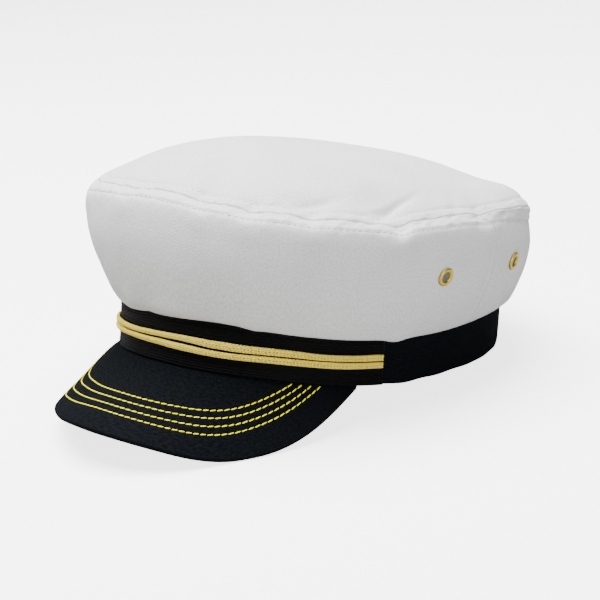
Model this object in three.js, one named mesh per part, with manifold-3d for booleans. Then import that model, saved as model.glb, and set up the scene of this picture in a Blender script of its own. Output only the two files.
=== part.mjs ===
// Captain hat: a full white cotton crown over a navy band, a black ribbon with two gold braids,
// an arched navy peak and brass vent eyelets. It rests on a table, on its peak and the back of its band.
// Millimetres. The wearer faces -Y, +X is the wearer's left and +Z is up.
import * as THREE from 'three';
import { mergeVertices } from 'three/addons/utils/BufferGeometryUtils.js';
import Module from 'manifold-3d';

// Clearance between pieces that are sewn or pressed together.
const GAP = 0.3;

// Head band, measured over its outer face.
const BAND_LENGTH = 207;
const BAND_WIDTH = 167;
const BAND_HEIGHT = 21.7;
const BAND_WALL = 2.4;
// How far the middle of the band lies behind the hat's upright axis.
const BAND_SETBACK = 3.5;
// The band's edges dip at the temples and rise at the back by up to this much.
const EDGE_WAVE = 3.8;

// Crown.
const CLOTH_WALL = 1.5;
// The gathered lower edge of the crown swells this far past the band. It turns out from under the
// roll at the first share of it, and is fullest at the second.
const ROLL = 4.6;
const ROLL_TUCK = 0.3;
const ROLL_RISE = 0.8;
// Height of the crown's side from the band to its shoulder fold.
const SIDE_HEIGHT = 48.5;
// How far the shoulder fold stands out past the band.
const OVERHANG_FRONT = 13.5;
const OVERHANG_BACK = 6.5;
const OVERHANG_SIDE = 17;
// How far the side bellies out past a straight line from the band to the shoulder, where it is
// SIDE_HEIGHT high.
const FULLNESS = 6.2;
// The top seam lies this far in from the shoulder fold, and this far above it.
const SEAM_INSET_FRONT = 5.5;
const SEAM_INSET_BACK = 0.4;
const SEAM_INSET_SIDE = 3.5;
const SEAM_LIFT = 5.5;
// The top panel: how far its middle rises over its seam, how flat it is in the middle,
// how far its front stands over its back, and how far front and back stand over the sides.
const TOP_RISE = 24;
const TOP_FLATNESS = 2.85;
const TOP_PITCH = 7;
const TOP_SADDLE = 1.6;
// Depth of the deepest dent in the cloth.
const DENT_DEPTH = 2.4;

// Where the side panels meet, in degrees from the front: at the band, and at the top seam.
const SIDE_SEAM_LOW = 106.5;
const SIDE_SEAM_HIGH = 99;

// Ribbon and braids over the front of the band, up to this many degrees each side.
const RIBBON_SPREAD = 68;
const RIBBON_WALL = 0.8;
const BRAID_SPREAD = 67;
const BRAID_WALL = 1.6;
// A braid thins to its edges, the more the nearer this is to 1.
const BRAID_ROUNDNESS = 0.8;

// Peak: length along its middle, degrees of the band that it spans each side, wall, and the
// squareness and fullness of its outline. Its board turns outwards by a share of the band's angle.
const PEAK_LENGTH = 59;
const PEAK_SPREAD = 59;
const PEAK_WALL = 2.6;
const PEAK_SQUARENESS = 2.2;
const PEAK_FULLNESS = 1.1;
const PEAK_FAN = 0.81;
// Length of the peak's board where it runs out at each side.
const PEAK_TAIL = 1.5;
// The board swells up over its straight slope by shares of this, and gets there within about twice
// the length of its roll.
const PEAK_SWELL = 3;
const PEAK_ROLL = 3;

// Vent eyelets.
const EYELET_BORE = 2.25;
const EYELET_BARREL = 2.65;
const EYELET_FLANGE = 4.65;
const EYELET_CLINCH = 3.7;
const EYELET_CROWN = 1;
const EYELET_LIP = 0.3;
// Length of the drill that cuts their holes, enough for the curve of the cloth.
const DRILL_LENGTH = 12;

// The cloth flattens by this much where the hat rests.
const REST_PRESS = 0.8;

// Divisions of the faceted surfaces.
const AROUND = 72;
const TOP_RINGS = 9;
const PEAK_ROWS = 9;
const PEAK_COLUMNS = 36;
const BRAID_COLUMNS = 37;
const EYELET_SIDES = 14;
// The peak's columns crowd to its ends, and the top panel's rings to its seam.
const END_CROWDING = 0.94;
const RING_CROWDING = 0.8;

// Sections round the hat, from the middle of the front (0 degrees) to the middle of the back (180),
// the same on both sides. band, fold (the shoulder's) and seam are reaches, each a share of its own
// oval. edge is a share of EDGE_WAVE, foldRise of SIDE_HEIGHT and seamRise of SEAM_LIFT.
const SECTIONS = [
  { angle: 0, edge: 0.37, band: 1, fold: 1, foldRise: 1.21, seam: 1, seamRise: 0.67 },
  { angle: 30, edge: -0.1, band: 1, fold: 1.038, foldRise: 1.13, seam: 1.035, seamRise: 0.69 },
  { angle: 60, edge: -1, band: 0.99, fold: 1.03, foldRise: 1.05, seam: 1.025, seamRise: 0.72 },
  { angle: 90, edge: -0.9, band: 0.99, fold: 1, foldRise: 1.07, seam: 0.99, seamRise: 0.83 },
  { angle: 120, edge: 0.37, band: 1.055, fold: 1.03, foldRise: 1.02, seam: 1.06, seamRise: 1.1 },
  { angle: 150, edge: 1, band: 1.05, fold: 1.02, foldRise: 0.83, seam: 1, seamRise: 1.4 },
  { angle: 180, edge: 0.9, band: 1, fold: 1, foldRise: 0.72, seam: 0.975, seamRise: 1.5 },
];

// Dents (positive depth) and swellings (negative) of the crown's cloth. angle and spread are degrees
// round the hat. level is how far above the top seam, over the top panel, or below it, down the side,
// and run is how far it reaches up and down, both as shares of SIDE_HEIGHT. depth is a share of DENT_DEPTH.
const DENTS = [
  { angle: 15, level: 0.02, depth: 0.4, spread: 5, run: 0.16 },
  { angle: 27, level: 0, depth: 0.35, spread: 5, run: 0.14 },
  { angle: 40, level: 0.16, depth: 0.65, spread: 7, run: 0.14 },
  { angle: 45, level: -0.26, depth: -0.45, spread: 8, run: 0.12 },
  { angle: 62, level: 0.24, depth: 1, spread: 7, run: 0.2 },
  { angle: 69, level: -0.26, depth: -0.4, spread: 7, run: 0.12 },
  { angle: 97, level: 0, depth: 0.4, spread: 6, run: 0.18 },
  { angle: 124, level: 0.2, depth: -0.9, spread: 16, run: 0.22 },
  { angle: 138, level: 0.08, depth: 0.5, spread: 7, run: 0.16 },
  { angle: 158, level: 0.12, depth: 0.5, spread: 8, run: 0.16 },
  { angle: -8, level: 0.1, depth: 0.35, spread: 6, run: 0.14 },
  { angle: -30, level: 0.16, depth: 0.5, spread: 7, run: 0.16 },
  { angle: -52, level: 0.2, depth: 0.75, spread: 7, run: 0.2 },
  { angle: -78, level: 0, depth: 0.4, spread: 6, run: 0.16 },
  { angle: -104, level: 0.14, depth: 0.6, spread: 7, run: 0.16 },
  { angle: -140, level: 0.1, depth: 0.5, spread: 8, run: 0.16 },
  { angle: -46, level: 0.06, depth: -0.6, spread: 22, run: 0.16 },
];

// Shape of the peak from the wearer's right (-1) through its middle (0) to the left (1), as it is bent
// by hand: slope in degrees below level, the share of its length that it is short of the full outline
// (or past it, where negative), and swell as a share of PEAK_SWELL.
const PEAK_SHAPE = [
  { across: -1, slope: 44.5, trim: 0, swell: 0 },
  { across: -0.75, slope: 49.2, trim: 0.07, swell: 1 },
  { across: -0.5, slope: 41.7, trim: 0.12, swell: 0.73 },
  { across: -0.25, slope: 30.6, trim: 0.09, swell: 0.2 },
  { across: 0, slope: 23, trim: 0, swell: 0 },
  { across: 0.25, slope: 29, trim: 0, swell: 0 },
  { across: 0.5, slope: 45.8, trim: 0.01, swell: 0 },
  { across: 0.75, slope: 51.8, trim: -0.03, swell: 0.1 },
  { across: 1, slope: 45.3, trim: 0, swell: 0 },
];

// The braids' edges round the front, as shares of BAND_HEIGHT: foot of the lower braid, foot and
// top of the parting between the braids, and top of the upper braid.
const BRAID_PATH = [
  { angle: -66, foot: 0.374, partingFoot: 0.519, partingTop: 0.535, top: 0.684 },
  { angle: -35, foot: 0.364, partingFoot: 0.486, partingTop: 0.508, top: 0.647 },
  { angle: -10, foot: 0.369, partingFoot: 0.492, partingTop: 0.524, top: 0.641 },
  { angle: 6, foot: 0.342, partingFoot: 0.497, partingTop: 0.551, top: 0.679 },
  { angle: 18, foot: 0.331, partingFoot: 0.47, partingTop: 0.508, top: 0.674 },
  { angle: 33, foot: 0.358, partingFoot: 0.508, partingTop: 0.529, top: 0.69 },
  { angle: 50, foot: 0.369, partingFoot: 0.519, partingTop: 0.535, top: 0.674 },
  { angle: 66, foot: 0.39, partingFoot: 0.535, partingTop: 0.551, top: 0.7 },
];

// Vent eyelets: degrees from the front, and height between the band and the shoulder fold.
const EYELETS = [
  { name: 'eyelet_left_front', angle: 81, level: 0.575 },
  { name: 'eyelet_left_back', angle: 113, level: 0.6 },
  { name: 'eyelet_right_front', angle: -81, level: 0.575 },
  { name: 'eyelet_right_back', angle: -113, level: 0.6 },
];

const wasm = await Module();
wasm.setup();

const { clamp, degToRad, lerp, radToDeg } = THREE.MathUtils;

// Reads a column of a table as a smooth curve through its rows, level at both ends.
function readTable(table, key, column, at) {
  const last = table.length - 1;
  let row = 0;
  while (row < last - 1 && at > table[row + 1][key]) row += 1;
  const slope = (k) => {
    if (k === 0 || k === last) return 0;
    return (table[k + 1][column] - table[k - 1][column]) / (table[k + 1][key] - table[k - 1][key]);
  };
  const span = table[row + 1][key] - table[row][key];
  const t = clamp((at - table[row][key]) / span, 0, 1);
  const rise = t * t * (3 - 2 * t);
  const leave = t * (1 - t) * (1 - t) * span * slope(row);
  const arrive = t * t * (1 - t) * span * slope(row + 1);
  return lerp(table[row][column], table[row + 1][column], rise) + leave - arrive;
}

// Reach of an egg-shaped oval at an angle from its front.
function ovalReach(front, back, half, angle) {
  const length = (front + back) / 2 + ((front - back) / 2) * Math.cos(angle);
  return (length * half) / Math.hypot(half * Math.cos(angle), length * Math.sin(angle));
}

function onRing(reach, angle, height) {
  return new THREE.Vector3(reach * Math.sin(angle), -reach * Math.cos(angle), height);
}

// The named rings of the hat at one angle: reach from the axis and height above the band's mean foot.
function sectionAt(angle) {
  const degrees = Math.abs(radToDeg(Math.atan2(Math.sin(angle), Math.cos(angle))));
  const share = (column) => readTable(SECTIONS, 'angle', column, degrees);
  const front = BAND_LENGTH / 2 - BAND_SETBACK;
  const back = BAND_LENGTH / 2 + BAND_SETBACK;
  const half = BAND_WIDTH / 2;
  const shoulderFront = front + OVERHANG_FRONT;
  const shoulderBack = back + OVERHANG_BACK;
  const shoulderHalf = half + OVERHANG_SIDE;
  const shoulder = ovalReach(shoulderFront, shoulderBack, shoulderHalf, angle);
  const seam = ovalReach(
    shoulderFront - SEAM_INSET_FRONT,
    shoulderBack - SEAM_INSET_BACK,
    shoulderHalf - SEAM_INSET_SIDE,
    angle,
  );
  const foot = EDGE_WAVE * share('edge');
  const shoulderHeight = BAND_HEIGHT + SIDE_HEIGHT * share('foldRise');
  return {
    band: ovalReach(front, back, half, angle) * share('band'),
    foot,
    bandTop: foot + BAND_HEIGHT,
    shoulder: shoulder * share('fold'),
    shoulderHeight,
    seam: seam * share('seam'),
    seamHeight: shoulderHeight + SEAM_LIFT * share('seamRise'),
  };
}

// Mean height of the top seam, which the top panel rises from.
const SEAM_MEAN = sectionAt(Math.PI / 2).seamHeight;

// The crown's outer face is one sheet. Up the side its course runs from 0 at the band to SIDE_COURSE at
// the top seam, and over the top on to SIDE_COURSE + TOP_COURSE in the middle.
const SIDE_COURSE = 6;
const TOP_COURSE = 20;
const SHOULDER_COURSE = 5;
// Each panel stops this much of a course short of the top seam, which keeps more than half the gap.
const SEAM_HOLD = (0.65 * GAP) / SEAM_LIFT;
// Courses of the side panels' rows of facets.
const SIDE_ROWS = [0, 1, 1.5, 2, 2.5, 3, 3.5, 4, 4.5, SHOULDER_COURSE, 5.5, SIDE_COURSE - SEAM_HOLD];

function sideProfile(angle) {
  const ring = sectionAt(angle);
  const low = ring.bandTop + GAP;
  const belly = (FULLNESS * (ring.shoulderHeight - ring.bandTop)) / SIDE_HEIGHT;
  const between = (share, fullness) => onRing(
    lerp(ring.band, ring.shoulder, share) + fullness * belly,
    angle,
    lerp(ring.bandTop, ring.shoulderHeight, share),
  );
  return new THREE.CatmullRomCurve3([
    onRing(ring.band - BAND_WALL, angle, low),
    onRing(ring.band + ROLL_TUCK * ROLL, angle, low),
    onRing(ring.band + ROLL, angle, low + ROLL_RISE * ROLL),
    between(0.5, 1),
    between(0.75, 0.8),
    onRing(ring.shoulder, angle, ring.shoulderHeight),
    onRing(ring.seam, angle, ring.seamHeight),
  ]);
}

// Height of the top panel's face over a point at a share of the way out to its seam.
function topHeight(angle, out, seamHeight) {
  const inner = 1 - out * out;
  const base = seamHeight * out * out + inner * SEAM_MEAN;
  const pitch = inner * out * TOP_PITCH * Math.cos(angle);
  const saddle = inner * out * out * TOP_SADDLE * Math.cos(2 * angle);
  return base + pitch + saddle + TOP_RISE * (1 - out ** TOP_FLATNESS);
}

// How deep the cloth is dented at a point of the crown.
function dentAt(angle, course) {
  const ring = sectionAt(angle);
  const sideStep = (ring.seamHeight - ring.bandTop) / SIDE_COURSE;
  const topStep = ring.seam / TOP_COURSE;
  const above = (course - SIDE_COURSE) * (course < SIDE_COURSE ? sideStep : topStep);
  return DENTS.reduce((sum, dent) => {
    const turn = angle - degToRad(dent.angle);
    const across = radToDeg(Math.atan2(Math.sin(turn), Math.cos(turn))) / dent.spread;
    const along = (above / SIDE_HEIGHT - dent.level) / dent.run;
    return sum + dent.depth * DENT_DEPTH * Math.exp(-across * across - along * along);
  }, 0);
}

function crownSheet(angle, course) {
  if (course <= SIDE_COURSE) return sideProfile(angle).getPoint(clamp(course / SIDE_COURSE, 0, 1));
  const out = clamp(1 - (course - SIDE_COURSE) / TOP_COURSE, 0, 1);
  const ring = sectionAt(angle);
  return onRing(ring.seam * out, angle, topHeight(angle, out, ring.seamHeight));
}

// Normal of a face, from points a small step to each side.
function faceNormal(face, across, along, acrossStep, alongStep) {
  const side = face(across + acrossStep, along).sub(face(across - acrossStep, along));
  const rise = face(across, along + alongStep).sub(face(across, along - alongStep));
  return side.cross(rise).normalize();
}

// A point of the crown's cloth, this far out from the undented outer face. Both panels of the top seam
// share the seam's own normal, so that their edges meet in a mitre.
function crownPoint(angle, course, outwards) {
  const step = 0.1;
  const atSeam = Math.abs(course - SIDE_COURSE) < step;
  const held = atSeam ? SIDE_COURSE : clamp(course, step, SIDE_COURSE + TOP_COURSE - step);
  const normal = course > SIDE_COURSE + TOP_COURSE - step
    ? new THREE.Vector3(0, 0, 1)
    : faceNormal(crownSheet, angle, held, 0.01, step);
  return crownSheet(angle, course).addScaledVector(normal, outwards - dentAt(angle, course));
}

// Moves each vertex of a closed three.js geometry, and merges the ones that meet.
function reshape(geometry, place) {
  const position = geometry.attributes.position;
  const uv = geometry.attributes.uv;
  for (let i = 0; i < position.count; i += 1) {
    const at = new THREE.Vector3().fromBufferAttribute(position, i);
    const moved = place(at, uv.getX(i), uv.getY(i));
    position.setXYZ(i, moved.x, moved.y, moved.z);
  }
  geometry.deleteAttribute('normal');
  geometry.deleteAttribute('uv');
  return mergeVertices(geometry, 1e-4);
}

// A block of cloth: across and up run 0 to 1 over its face, and depth 0 to 1 through its wall.
function cloth(columns, rows, place, layers = 1) {
  const block = new THREE.BoxGeometry(1, 1, 1, columns, rows, layers);
  return reshape(block, (at) => place(at.x + 0.5, at.y + 0.5, at.z + 0.5));
}

function toSolid(geometry) {
  return new wasm.Manifold(new wasm.Mesh({
    numProp: 3,
    vertProperties: new Float32Array(geometry.attributes.position.array),
    triVerts: new Uint32Array(geometry.index.array),
  }));
}

function toGeometry(solid) {
  const mesh = solid.getMesh();
  const geometry = new THREE.BufferGeometry();
  geometry.setAttribute('position', new THREE.BufferAttribute(mesh.vertProperties, 3));
  geometry.setIndex(new THREE.BufferAttribute(mesh.triVerts, 1));
  return geometry;
}

// Course of the crown's side at a share of the way from the band to the shoulder fold.
function courseAt(angle, level) {
  const ring = sectionAt(angle);
  const height = lerp(ring.bandTop, ring.shoulderHeight, level);
  let low = 2;
  let high = SHOULDER_COURSE;
  for (let i = 0; i < 24; i += 1) {
    const middle = (low + high) / 2;
    if (crownSheet(angle, middle).z < height) low = middle;
    else high = middle;
  }
  return low;
}

// Seat of an eyelet: where it meets the side's outer face, and the way out.
function eyeletSeat({ angle, level }) {
  const turn = degToRad(angle);
  const course = courseAt(turn, level);
  return {
    at: crownPoint(turn, course, 0),
    out: faceNormal(crownSheet, turn, course, 0.01, 0.1),
  };
}

function facing(direction) {
  return new THREE.Quaternion().setFromUnitVectors(new THREE.Vector3(0, 1, 0), direction);
}

// Cuts the eyelets' holes through a side panel.
function pierce(panel) {
  let solid = toSolid(panel);
  EYELETS.forEach((eyelet) => {
    const { at, out } = eyeletSeat(eyelet);
    const radius = EYELET_BARREL + GAP;
    const drill = new THREE.CylinderGeometry(radius, radius, DRILL_LENGTH, EYELET_SIDES);
    drill.applyQuaternion(facing(out)).translate(at.x, at.y, at.z);
    drill.deleteAttribute('normal');
    drill.deleteAttribute('uv');
    solid = solid.subtract(toSolid(mergeVertices(drill)));
  });
  return toGeometry(solid);
}

// A side panel of the crown, between two of the slanting side seams.
function makeSidePanel(from, to, columns) {
  const rows = SIDE_ROWS.length - 1;
  const panel = cloth(columns, rows, (across, up, depth) => {
    const course = SIDE_ROWS[Math.round(up * rows)];
    const climb = course / SIDE_COURSE;
    const angle = lerp(from(climb), to(climb), across);
    return crownPoint(angle, course, (depth - 1) * CLOTH_WALL);
  });
  return pierce(panel);
}

// Angle of the side seam at a share of the climb, held back by half the gap.
function sideSeam(climb, hold) {
  const reach = BAND_WIDTH / 2;
  return degToRad(lerp(SIDE_SEAM_LOW, SIDE_SEAM_HIGH, climb)) + (hold * GAP) / 2 / reach;
}

function makeCrownTop() {
  const rings = 2 * TOP_RINGS + 1;
  const ball = new THREE.SphereGeometry(1, AROUND, rings);
  return reshape(ball, (at, u, v) => {
    const ring = Math.round((1 - v) * rings);
    const outside = ring <= TOP_RINGS;
    const out = (outside ? ring : rings - ring) / TOP_RINGS;
    const course = SIDE_COURSE + SEAM_HOLD + (TOP_COURSE - SEAM_HOLD) * (1 - out ** RING_CROWDING);
    const middle = out === 0;
    const angle = middle ? 0 : 2 * Math.PI * u - Math.PI / 2;
    return crownPoint(angle, middle ? SIDE_COURSE + TOP_COURSE : course, outside ? 0 : -CLOTH_WALL);
  });
}

// The band's outer face, at a share of its height and this far out from it.
function bandPoint(angle, up, outwards) {
  const ring = sectionAt(angle);
  return onRing(ring.band + outwards, angle, ring.foot + BAND_HEIGHT * up);
}

function makeBand() {
  const outline = [
    { up: 0.5, out: 0 },
    { up: 1, out: 0 },
    { up: 1, out: -1 },
    { up: 0.5, out: -1 },
    { up: 0, out: -1 },
    { up: 0, out: 0 },
  ];
  const loop = new THREE.TorusGeometry(2, 1, outline.length, AROUND);
  return reshape(loop, (at, u, v) => {
    const corner = outline[Math.round(v * outline.length) % outline.length];
    return bandPoint(2 * Math.PI * (u % 1), corner.up, corner.out * BAND_WALL);
  });
}

function makeRibbon() {
  const columns = Math.round((AROUND * RIBBON_SPREAD) / 180);
  return cloth(columns, 1, (across, up, depth) => {
    const angle = degToRad(RIBBON_SPREAD) * (2 * across - 1);
    return bandPoint(angle, up, GAP + depth * RIBBON_WALL);
  });
}

// A braid lies on the ribbon between two columns of its path, and is rounded across.
function makeBraid(footColumn, topColumn) {
  return cloth(BRAID_COLUMNS, 4, (across, up, depth) => {
    const degrees = BRAID_SPREAD * (2 * across - 1);
    const foot = readTable(BRAID_PATH, 'angle', footColumn, degrees);
    const top = readTable(BRAID_PATH, 'angle', topColumn, degrees);
    const round = Math.sqrt(1 - BRAID_ROUNDNESS * (2 * up - 1) ** 2);
    const outwards = 2 * GAP + RIBBON_WALL + depth * BRAID_WALL * round;
    return bandPoint(degToRad(degrees), lerp(foot, top, up), outwards);
  });
}

// The peak's upper face, from its outer edge (0) in to the band (1).
function peakSheet(across, inwards) {
  const angle = across * degToRad(PEAK_SPREAD);
  const slope = degToRad(readTable(PEAK_SHAPE, 'across', 'slope', across));
  const full = PEAK_LENGTH * (1 - readTable(PEAK_SHAPE, 'across', 'trim', across));
  const outline = Math.max(0, 1 - Math.abs(across) ** PEAK_SQUARENESS) ** PEAK_FULLNESS;
  const length = PEAK_TAIL + (full - PEAK_TAIL) * outline;
  const heading = angle * PEAK_FAN;
  const away = length * (1 - inwards);
  const swell = PEAK_SWELL * readTable(PEAK_SHAPE, 'across', 'swell', across);
  const up = swell * (1 - Math.exp(-away / PEAK_ROLL));
  const level = away * Math.cos(slope) + up * Math.sin(slope);
  const root = bandPoint(angle, 0, -BAND_WALL / 2);
  return root.add(new THREE.Vector3(
    level * Math.sin(heading),
    -level * Math.cos(heading),
    up * Math.cos(slope) - away * Math.sin(slope) - GAP,
  ));
}

function makePeak() {
  return cloth(PEAK_COLUMNS, PEAK_ROWS, (across, up, depth) => {
    const quarter = (Math.PI / 2) * END_CROWDING;
    const over = Math.sin((2 * across - 1) * quarter) / Math.sin(quarter);
    const normal = faceNormal(peakSheet, clamp(over, -0.98, 0.98), clamp(up, 0.02, 0.98), 0.01, 0.01);
    return peakSheet(over, up).addScaledVector(normal, (depth - 1) * PEAK_WALL);
  });
}

function makeEyelet() {
  const back = -(CLOTH_WALL + 3 * GAP);
  const profile = [
    [EYELET_BORE, 0.75 * EYELET_CROWN],
    [EYELET_BORE, back - EYELET_LIP],
    [EYELET_CLINCH, back - EYELET_LIP],
    [EYELET_CLINCH, back],
    [EYELET_BARREL, back],
    [EYELET_BARREL, 0],
    [EYELET_FLANGE, 0],
    [lerp(EYELET_BARREL, EYELET_FLANGE, 0.88), 0.5 * EYELET_CROWN],
    [lerp(EYELET_BARREL, EYELET_FLANGE, 0.5), 0.9 * EYELET_CROWN],
    [EYELET_BARREL, EYELET_CROWN],
    [EYELET_BORE, 0.75 * EYELET_CROWN],
  ].map(([radius, height]) => new THREE.Vector2(radius, height));
  return reshape(new THREE.LatheGeometry(profile, EYELET_SIDES), (at) => at);
}

// Height of a geometry's lowest vertex when the hat's front is raised by this angle.
function lowest(geometry, tilt) {
  const position = geometry.attributes.position;
  let low = Infinity;
  for (let i = 0; i < position.count; i += 1) {
    low = Math.min(low, position.getZ(i) * Math.cos(tilt) - position.getY(i) * Math.sin(tilt));
  }
  return low;
}

// The tilt at which the peak and the back of the band both touch the table.
function restingTilt(peak, band) {
  let low = 0;
  let high = Math.PI / 4;
  for (let i = 0; i < 40; i += 1) {
    const tilt = (low + high) / 2;
    if (lowest(peak, tilt) < lowest(band, tilt)) low = tilt;
    else high = tilt;
  }
  return low;
}

// Flattens the cloth of a piece that would reach below the table.
function flatten(geometry, tilt, table) {
  const up = new THREE.Vector3(0, -Math.sin(tilt), Math.cos(tilt));
  const position = geometry.attributes.position;
  for (let i = 0; i < position.count; i += 1) {
    const at = new THREE.Vector3().fromBufferAttribute(position, i);
    at.addScaledVector(up, Math.max(0, table - at.dot(up)));
    position.setXYZ(i, at.x, at.y, at.z);
  }
}

const MATERIALS = {
  white_cotton: new THREE.MeshStandardMaterial({ color: 0xe9e9e9, roughness: 0.9, metalness: 0 }),
  navy_twill: new THREE.MeshStandardMaterial({ color: 0x141a22, roughness: 0.9, metalness: 0 }),
  black_ribbon: new THREE.MeshStandardMaterial({ color: 0x0d0d0d, roughness: 0.7, metalness: 0 }),
  gold_braid: new THREE.MeshStandardMaterial({ color: 0xd6ba6e, roughness: 0.5, metalness: 0.2 }),
  brass: new THREE.MeshStandardMaterial({ color: 0xc8aa3c, roughness: 0.35, metalness: 1 }),
};

function piece(name, geometry, material) {
  geometry.computeVertexNormals();
  const mesh = new THREE.Mesh(geometry, MATERIALS[material]);
  mesh.name = name;
  return mesh;
}

function fitEyelet(eyelet) {
  const mesh = piece(eyelet.name, makeEyelet(), 'brass');
  const { at, out } = eyeletSeat(eyelet);
  mesh.position.copy(at).addScaledVector(out, GAP);
  mesh.quaternion.copy(facing(out));
  return mesh;
}

const frontColumns = Math.round((AROUND * SIDE_SEAM_HIGH) / 180);
const band = makeBand();
const peak = makePeak();
const tilt = restingTilt(peak, band);
const table = Math.max(lowest(band, tilt), lowest(peak, tilt)) + REST_PRESS;
flatten(band, tilt, table);
flatten(peak, tilt, table);

const hat = new THREE.Group();
hat.add(
  piece('crown_top', makeCrownTop(), 'white_cotton'),
  piece(
    'crown_side_front',
    makeSidePanel((climb) => -sideSeam(climb, -1), (climb) => sideSeam(climb, -1), frontColumns),
    'white_cotton',
  ),
  piece(
    'crown_side_back',
    makeSidePanel(
      (climb) => sideSeam(climb, 1),
      (climb) => 2 * Math.PI - sideSeam(climb, 1),
      AROUND - frontColumns,
    ),
    'white_cotton',
  ),
  piece('band', band, 'navy_twill'),
  piece('band_ribbon', makeRibbon(), 'black_ribbon'),
  piece('braid_lower', makeBraid('foot', 'partingFoot'), 'gold_braid'),
  piece('braid_upper', makeBraid('partingTop', 'top'), 'gold_braid'),
  piece('peak', peak, 'navy_twill'),
  ...EYELETS.map(fitEyelet),
);
hat.rotation.x = -tilt;

// The origin is on the table, under the middle of the hat's box.
const box = new THREE.Box3().setFromObject(hat, true);
const middle = box.getCenter(new THREE.Vector3());
hat.position.set(-middle.x, -middle.y, -box.min.z);

const part = new THREE.Group();
part.add(hat);
export default part;
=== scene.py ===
"""Captain hat: the finished cloth, ribbon, braid, stitching and brass over the hat's own frame."""
import math

import bmesh
import bpy
import numpy as np
from mathutils import Matrix, Vector


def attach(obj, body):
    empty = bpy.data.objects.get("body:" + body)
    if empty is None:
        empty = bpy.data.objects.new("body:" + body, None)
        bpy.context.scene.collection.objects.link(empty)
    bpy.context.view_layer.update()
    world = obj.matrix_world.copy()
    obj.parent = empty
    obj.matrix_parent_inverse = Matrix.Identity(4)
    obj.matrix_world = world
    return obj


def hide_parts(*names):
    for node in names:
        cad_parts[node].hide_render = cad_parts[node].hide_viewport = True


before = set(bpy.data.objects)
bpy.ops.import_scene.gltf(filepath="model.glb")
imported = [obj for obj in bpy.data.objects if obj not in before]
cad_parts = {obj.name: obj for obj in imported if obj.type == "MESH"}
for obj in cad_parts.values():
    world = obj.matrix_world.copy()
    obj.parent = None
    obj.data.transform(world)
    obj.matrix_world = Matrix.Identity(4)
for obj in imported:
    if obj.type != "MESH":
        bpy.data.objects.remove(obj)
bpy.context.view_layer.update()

bl_info = {
    "name": "Captain Hat",
    "version": (1, 0, 0),
    "blender": (4, 5, 0),
    "location": "View3D > Sidebar > Hat",
    "description": "Dresses a captain hat in twill, ribbon, braid, stitching and brass",
    "category": "Object",
}

MM = 0.001

# Sizes of the hat, in millimetres, as its solids have them. The wearer faces -Y.
GAP = 0.3
BAND_LENGTH = 207.0
BAND_WIDTH = 167.0
BAND_HEIGHT = 21.7
BAND_WALL = 2.4
BAND_SETBACK = 3.5
EDGE_WAVE = 3.8
CLOTH_WALL = 1.5
ROLL = 4.6
SIDE_HEIGHT = 48.5
OVERHANG_FRONT = 13.5
OVERHANG_BACK = 6.5
OVERHANG_SIDE = 17.0
FULLNESS = 6.2
SEAM_INSET_FRONT = 5.5
SEAM_INSET_BACK = 0.4
SEAM_INSET_SIDE = 3.5
SEAM_LIFT = 5.5
TOP_RISE = 24.0
TOP_FLATNESS = 2.85
TOP_PITCH = 7.0
TOP_SADDLE = 1.6
DENT_DEPTH = 2.4
SIDE_SEAM_LOW = 106.5
SIDE_SEAM_HIGH = 99.0
RIBBON_SPREAD = 68.0
RIBBON_WALL = 0.8
BRAID_SPREAD = 67.0
BRAID_WALL = 1.6
PEAK_LENGTH = 59.0
PEAK_SPREAD = 59.0
PEAK_WALL = 2.6
PEAK_SQUARENESS = 2.2
PEAK_FULLNESS = 1.1
PEAK_FAN = 0.81
PEAK_TAIL = 1.5
PEAK_ROLL = 3.0
EYELET_BORE = 2.45
EYELET_BARREL = 2.65
EYELET_FLANGE = 4.65
EYELET_CLINCH = 3.7
EYELET_CROWN = 1.0
EYELET_LIP = 0.3
# The gauze lies this far in from each eyelet's seat, and the cloth is cut away to this reach round it.
GAUZE_DEPTH = 0.15
EYELET_CUT = 3.2
# The curled flange is drawn in this many steps.
EYELET_CURL = 12

# How the hat lies on the table: its front is raised by this tilt, and its axis is moved to here.
REST_TILT = math.radians(10.0239)
REST_PLACE = (0.008, 16.315, 14.457)

# The photograph's camera, about a point above the middle of the hat, with the hat tilted as it was.
PHOTO_TILT = math.radians(4.587)
PHOTO_PIVOT = 50.0
PHOTO_AZIMUTH = math.radians(42.333)
PHOTO_ELEVATION = math.radians(13.577)
PHOTO_DISTANCE = 1048.8
PHOTO_MM_PER_PIXEL = 0.504
PHOTO_CENTRE = (304.75, 244.62)
PHOTO_SIZE = 600
SENSOR = 36.0

# Sections round the hat, from the middle of the front to the middle of the back, in degrees.
SECTIONS = {
    "angle": (0, 30, 60, 90, 120, 150, 180),
    "edge": (0.37, -0.1, -1, -0.9, 0.37, 1, 0.9),
    "band_reach": (1, 1, 0.99, 0.99, 1.055, 1.05, 1),
    "shoulder_reach": (1, 1.038, 1.03, 1, 1.03, 1.02, 1),
    "shoulder_rise": (1.21, 1.13, 1.05, 1.07, 1.02, 0.83, 0.72),
    "seam_reach": (1, 1.035, 1.025, 0.99, 1.06, 1, 0.975),
    "seam_rise": (0.67, 0.69, 0.72, 0.83, 1.1, 1.4, 1.5),
}

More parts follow.
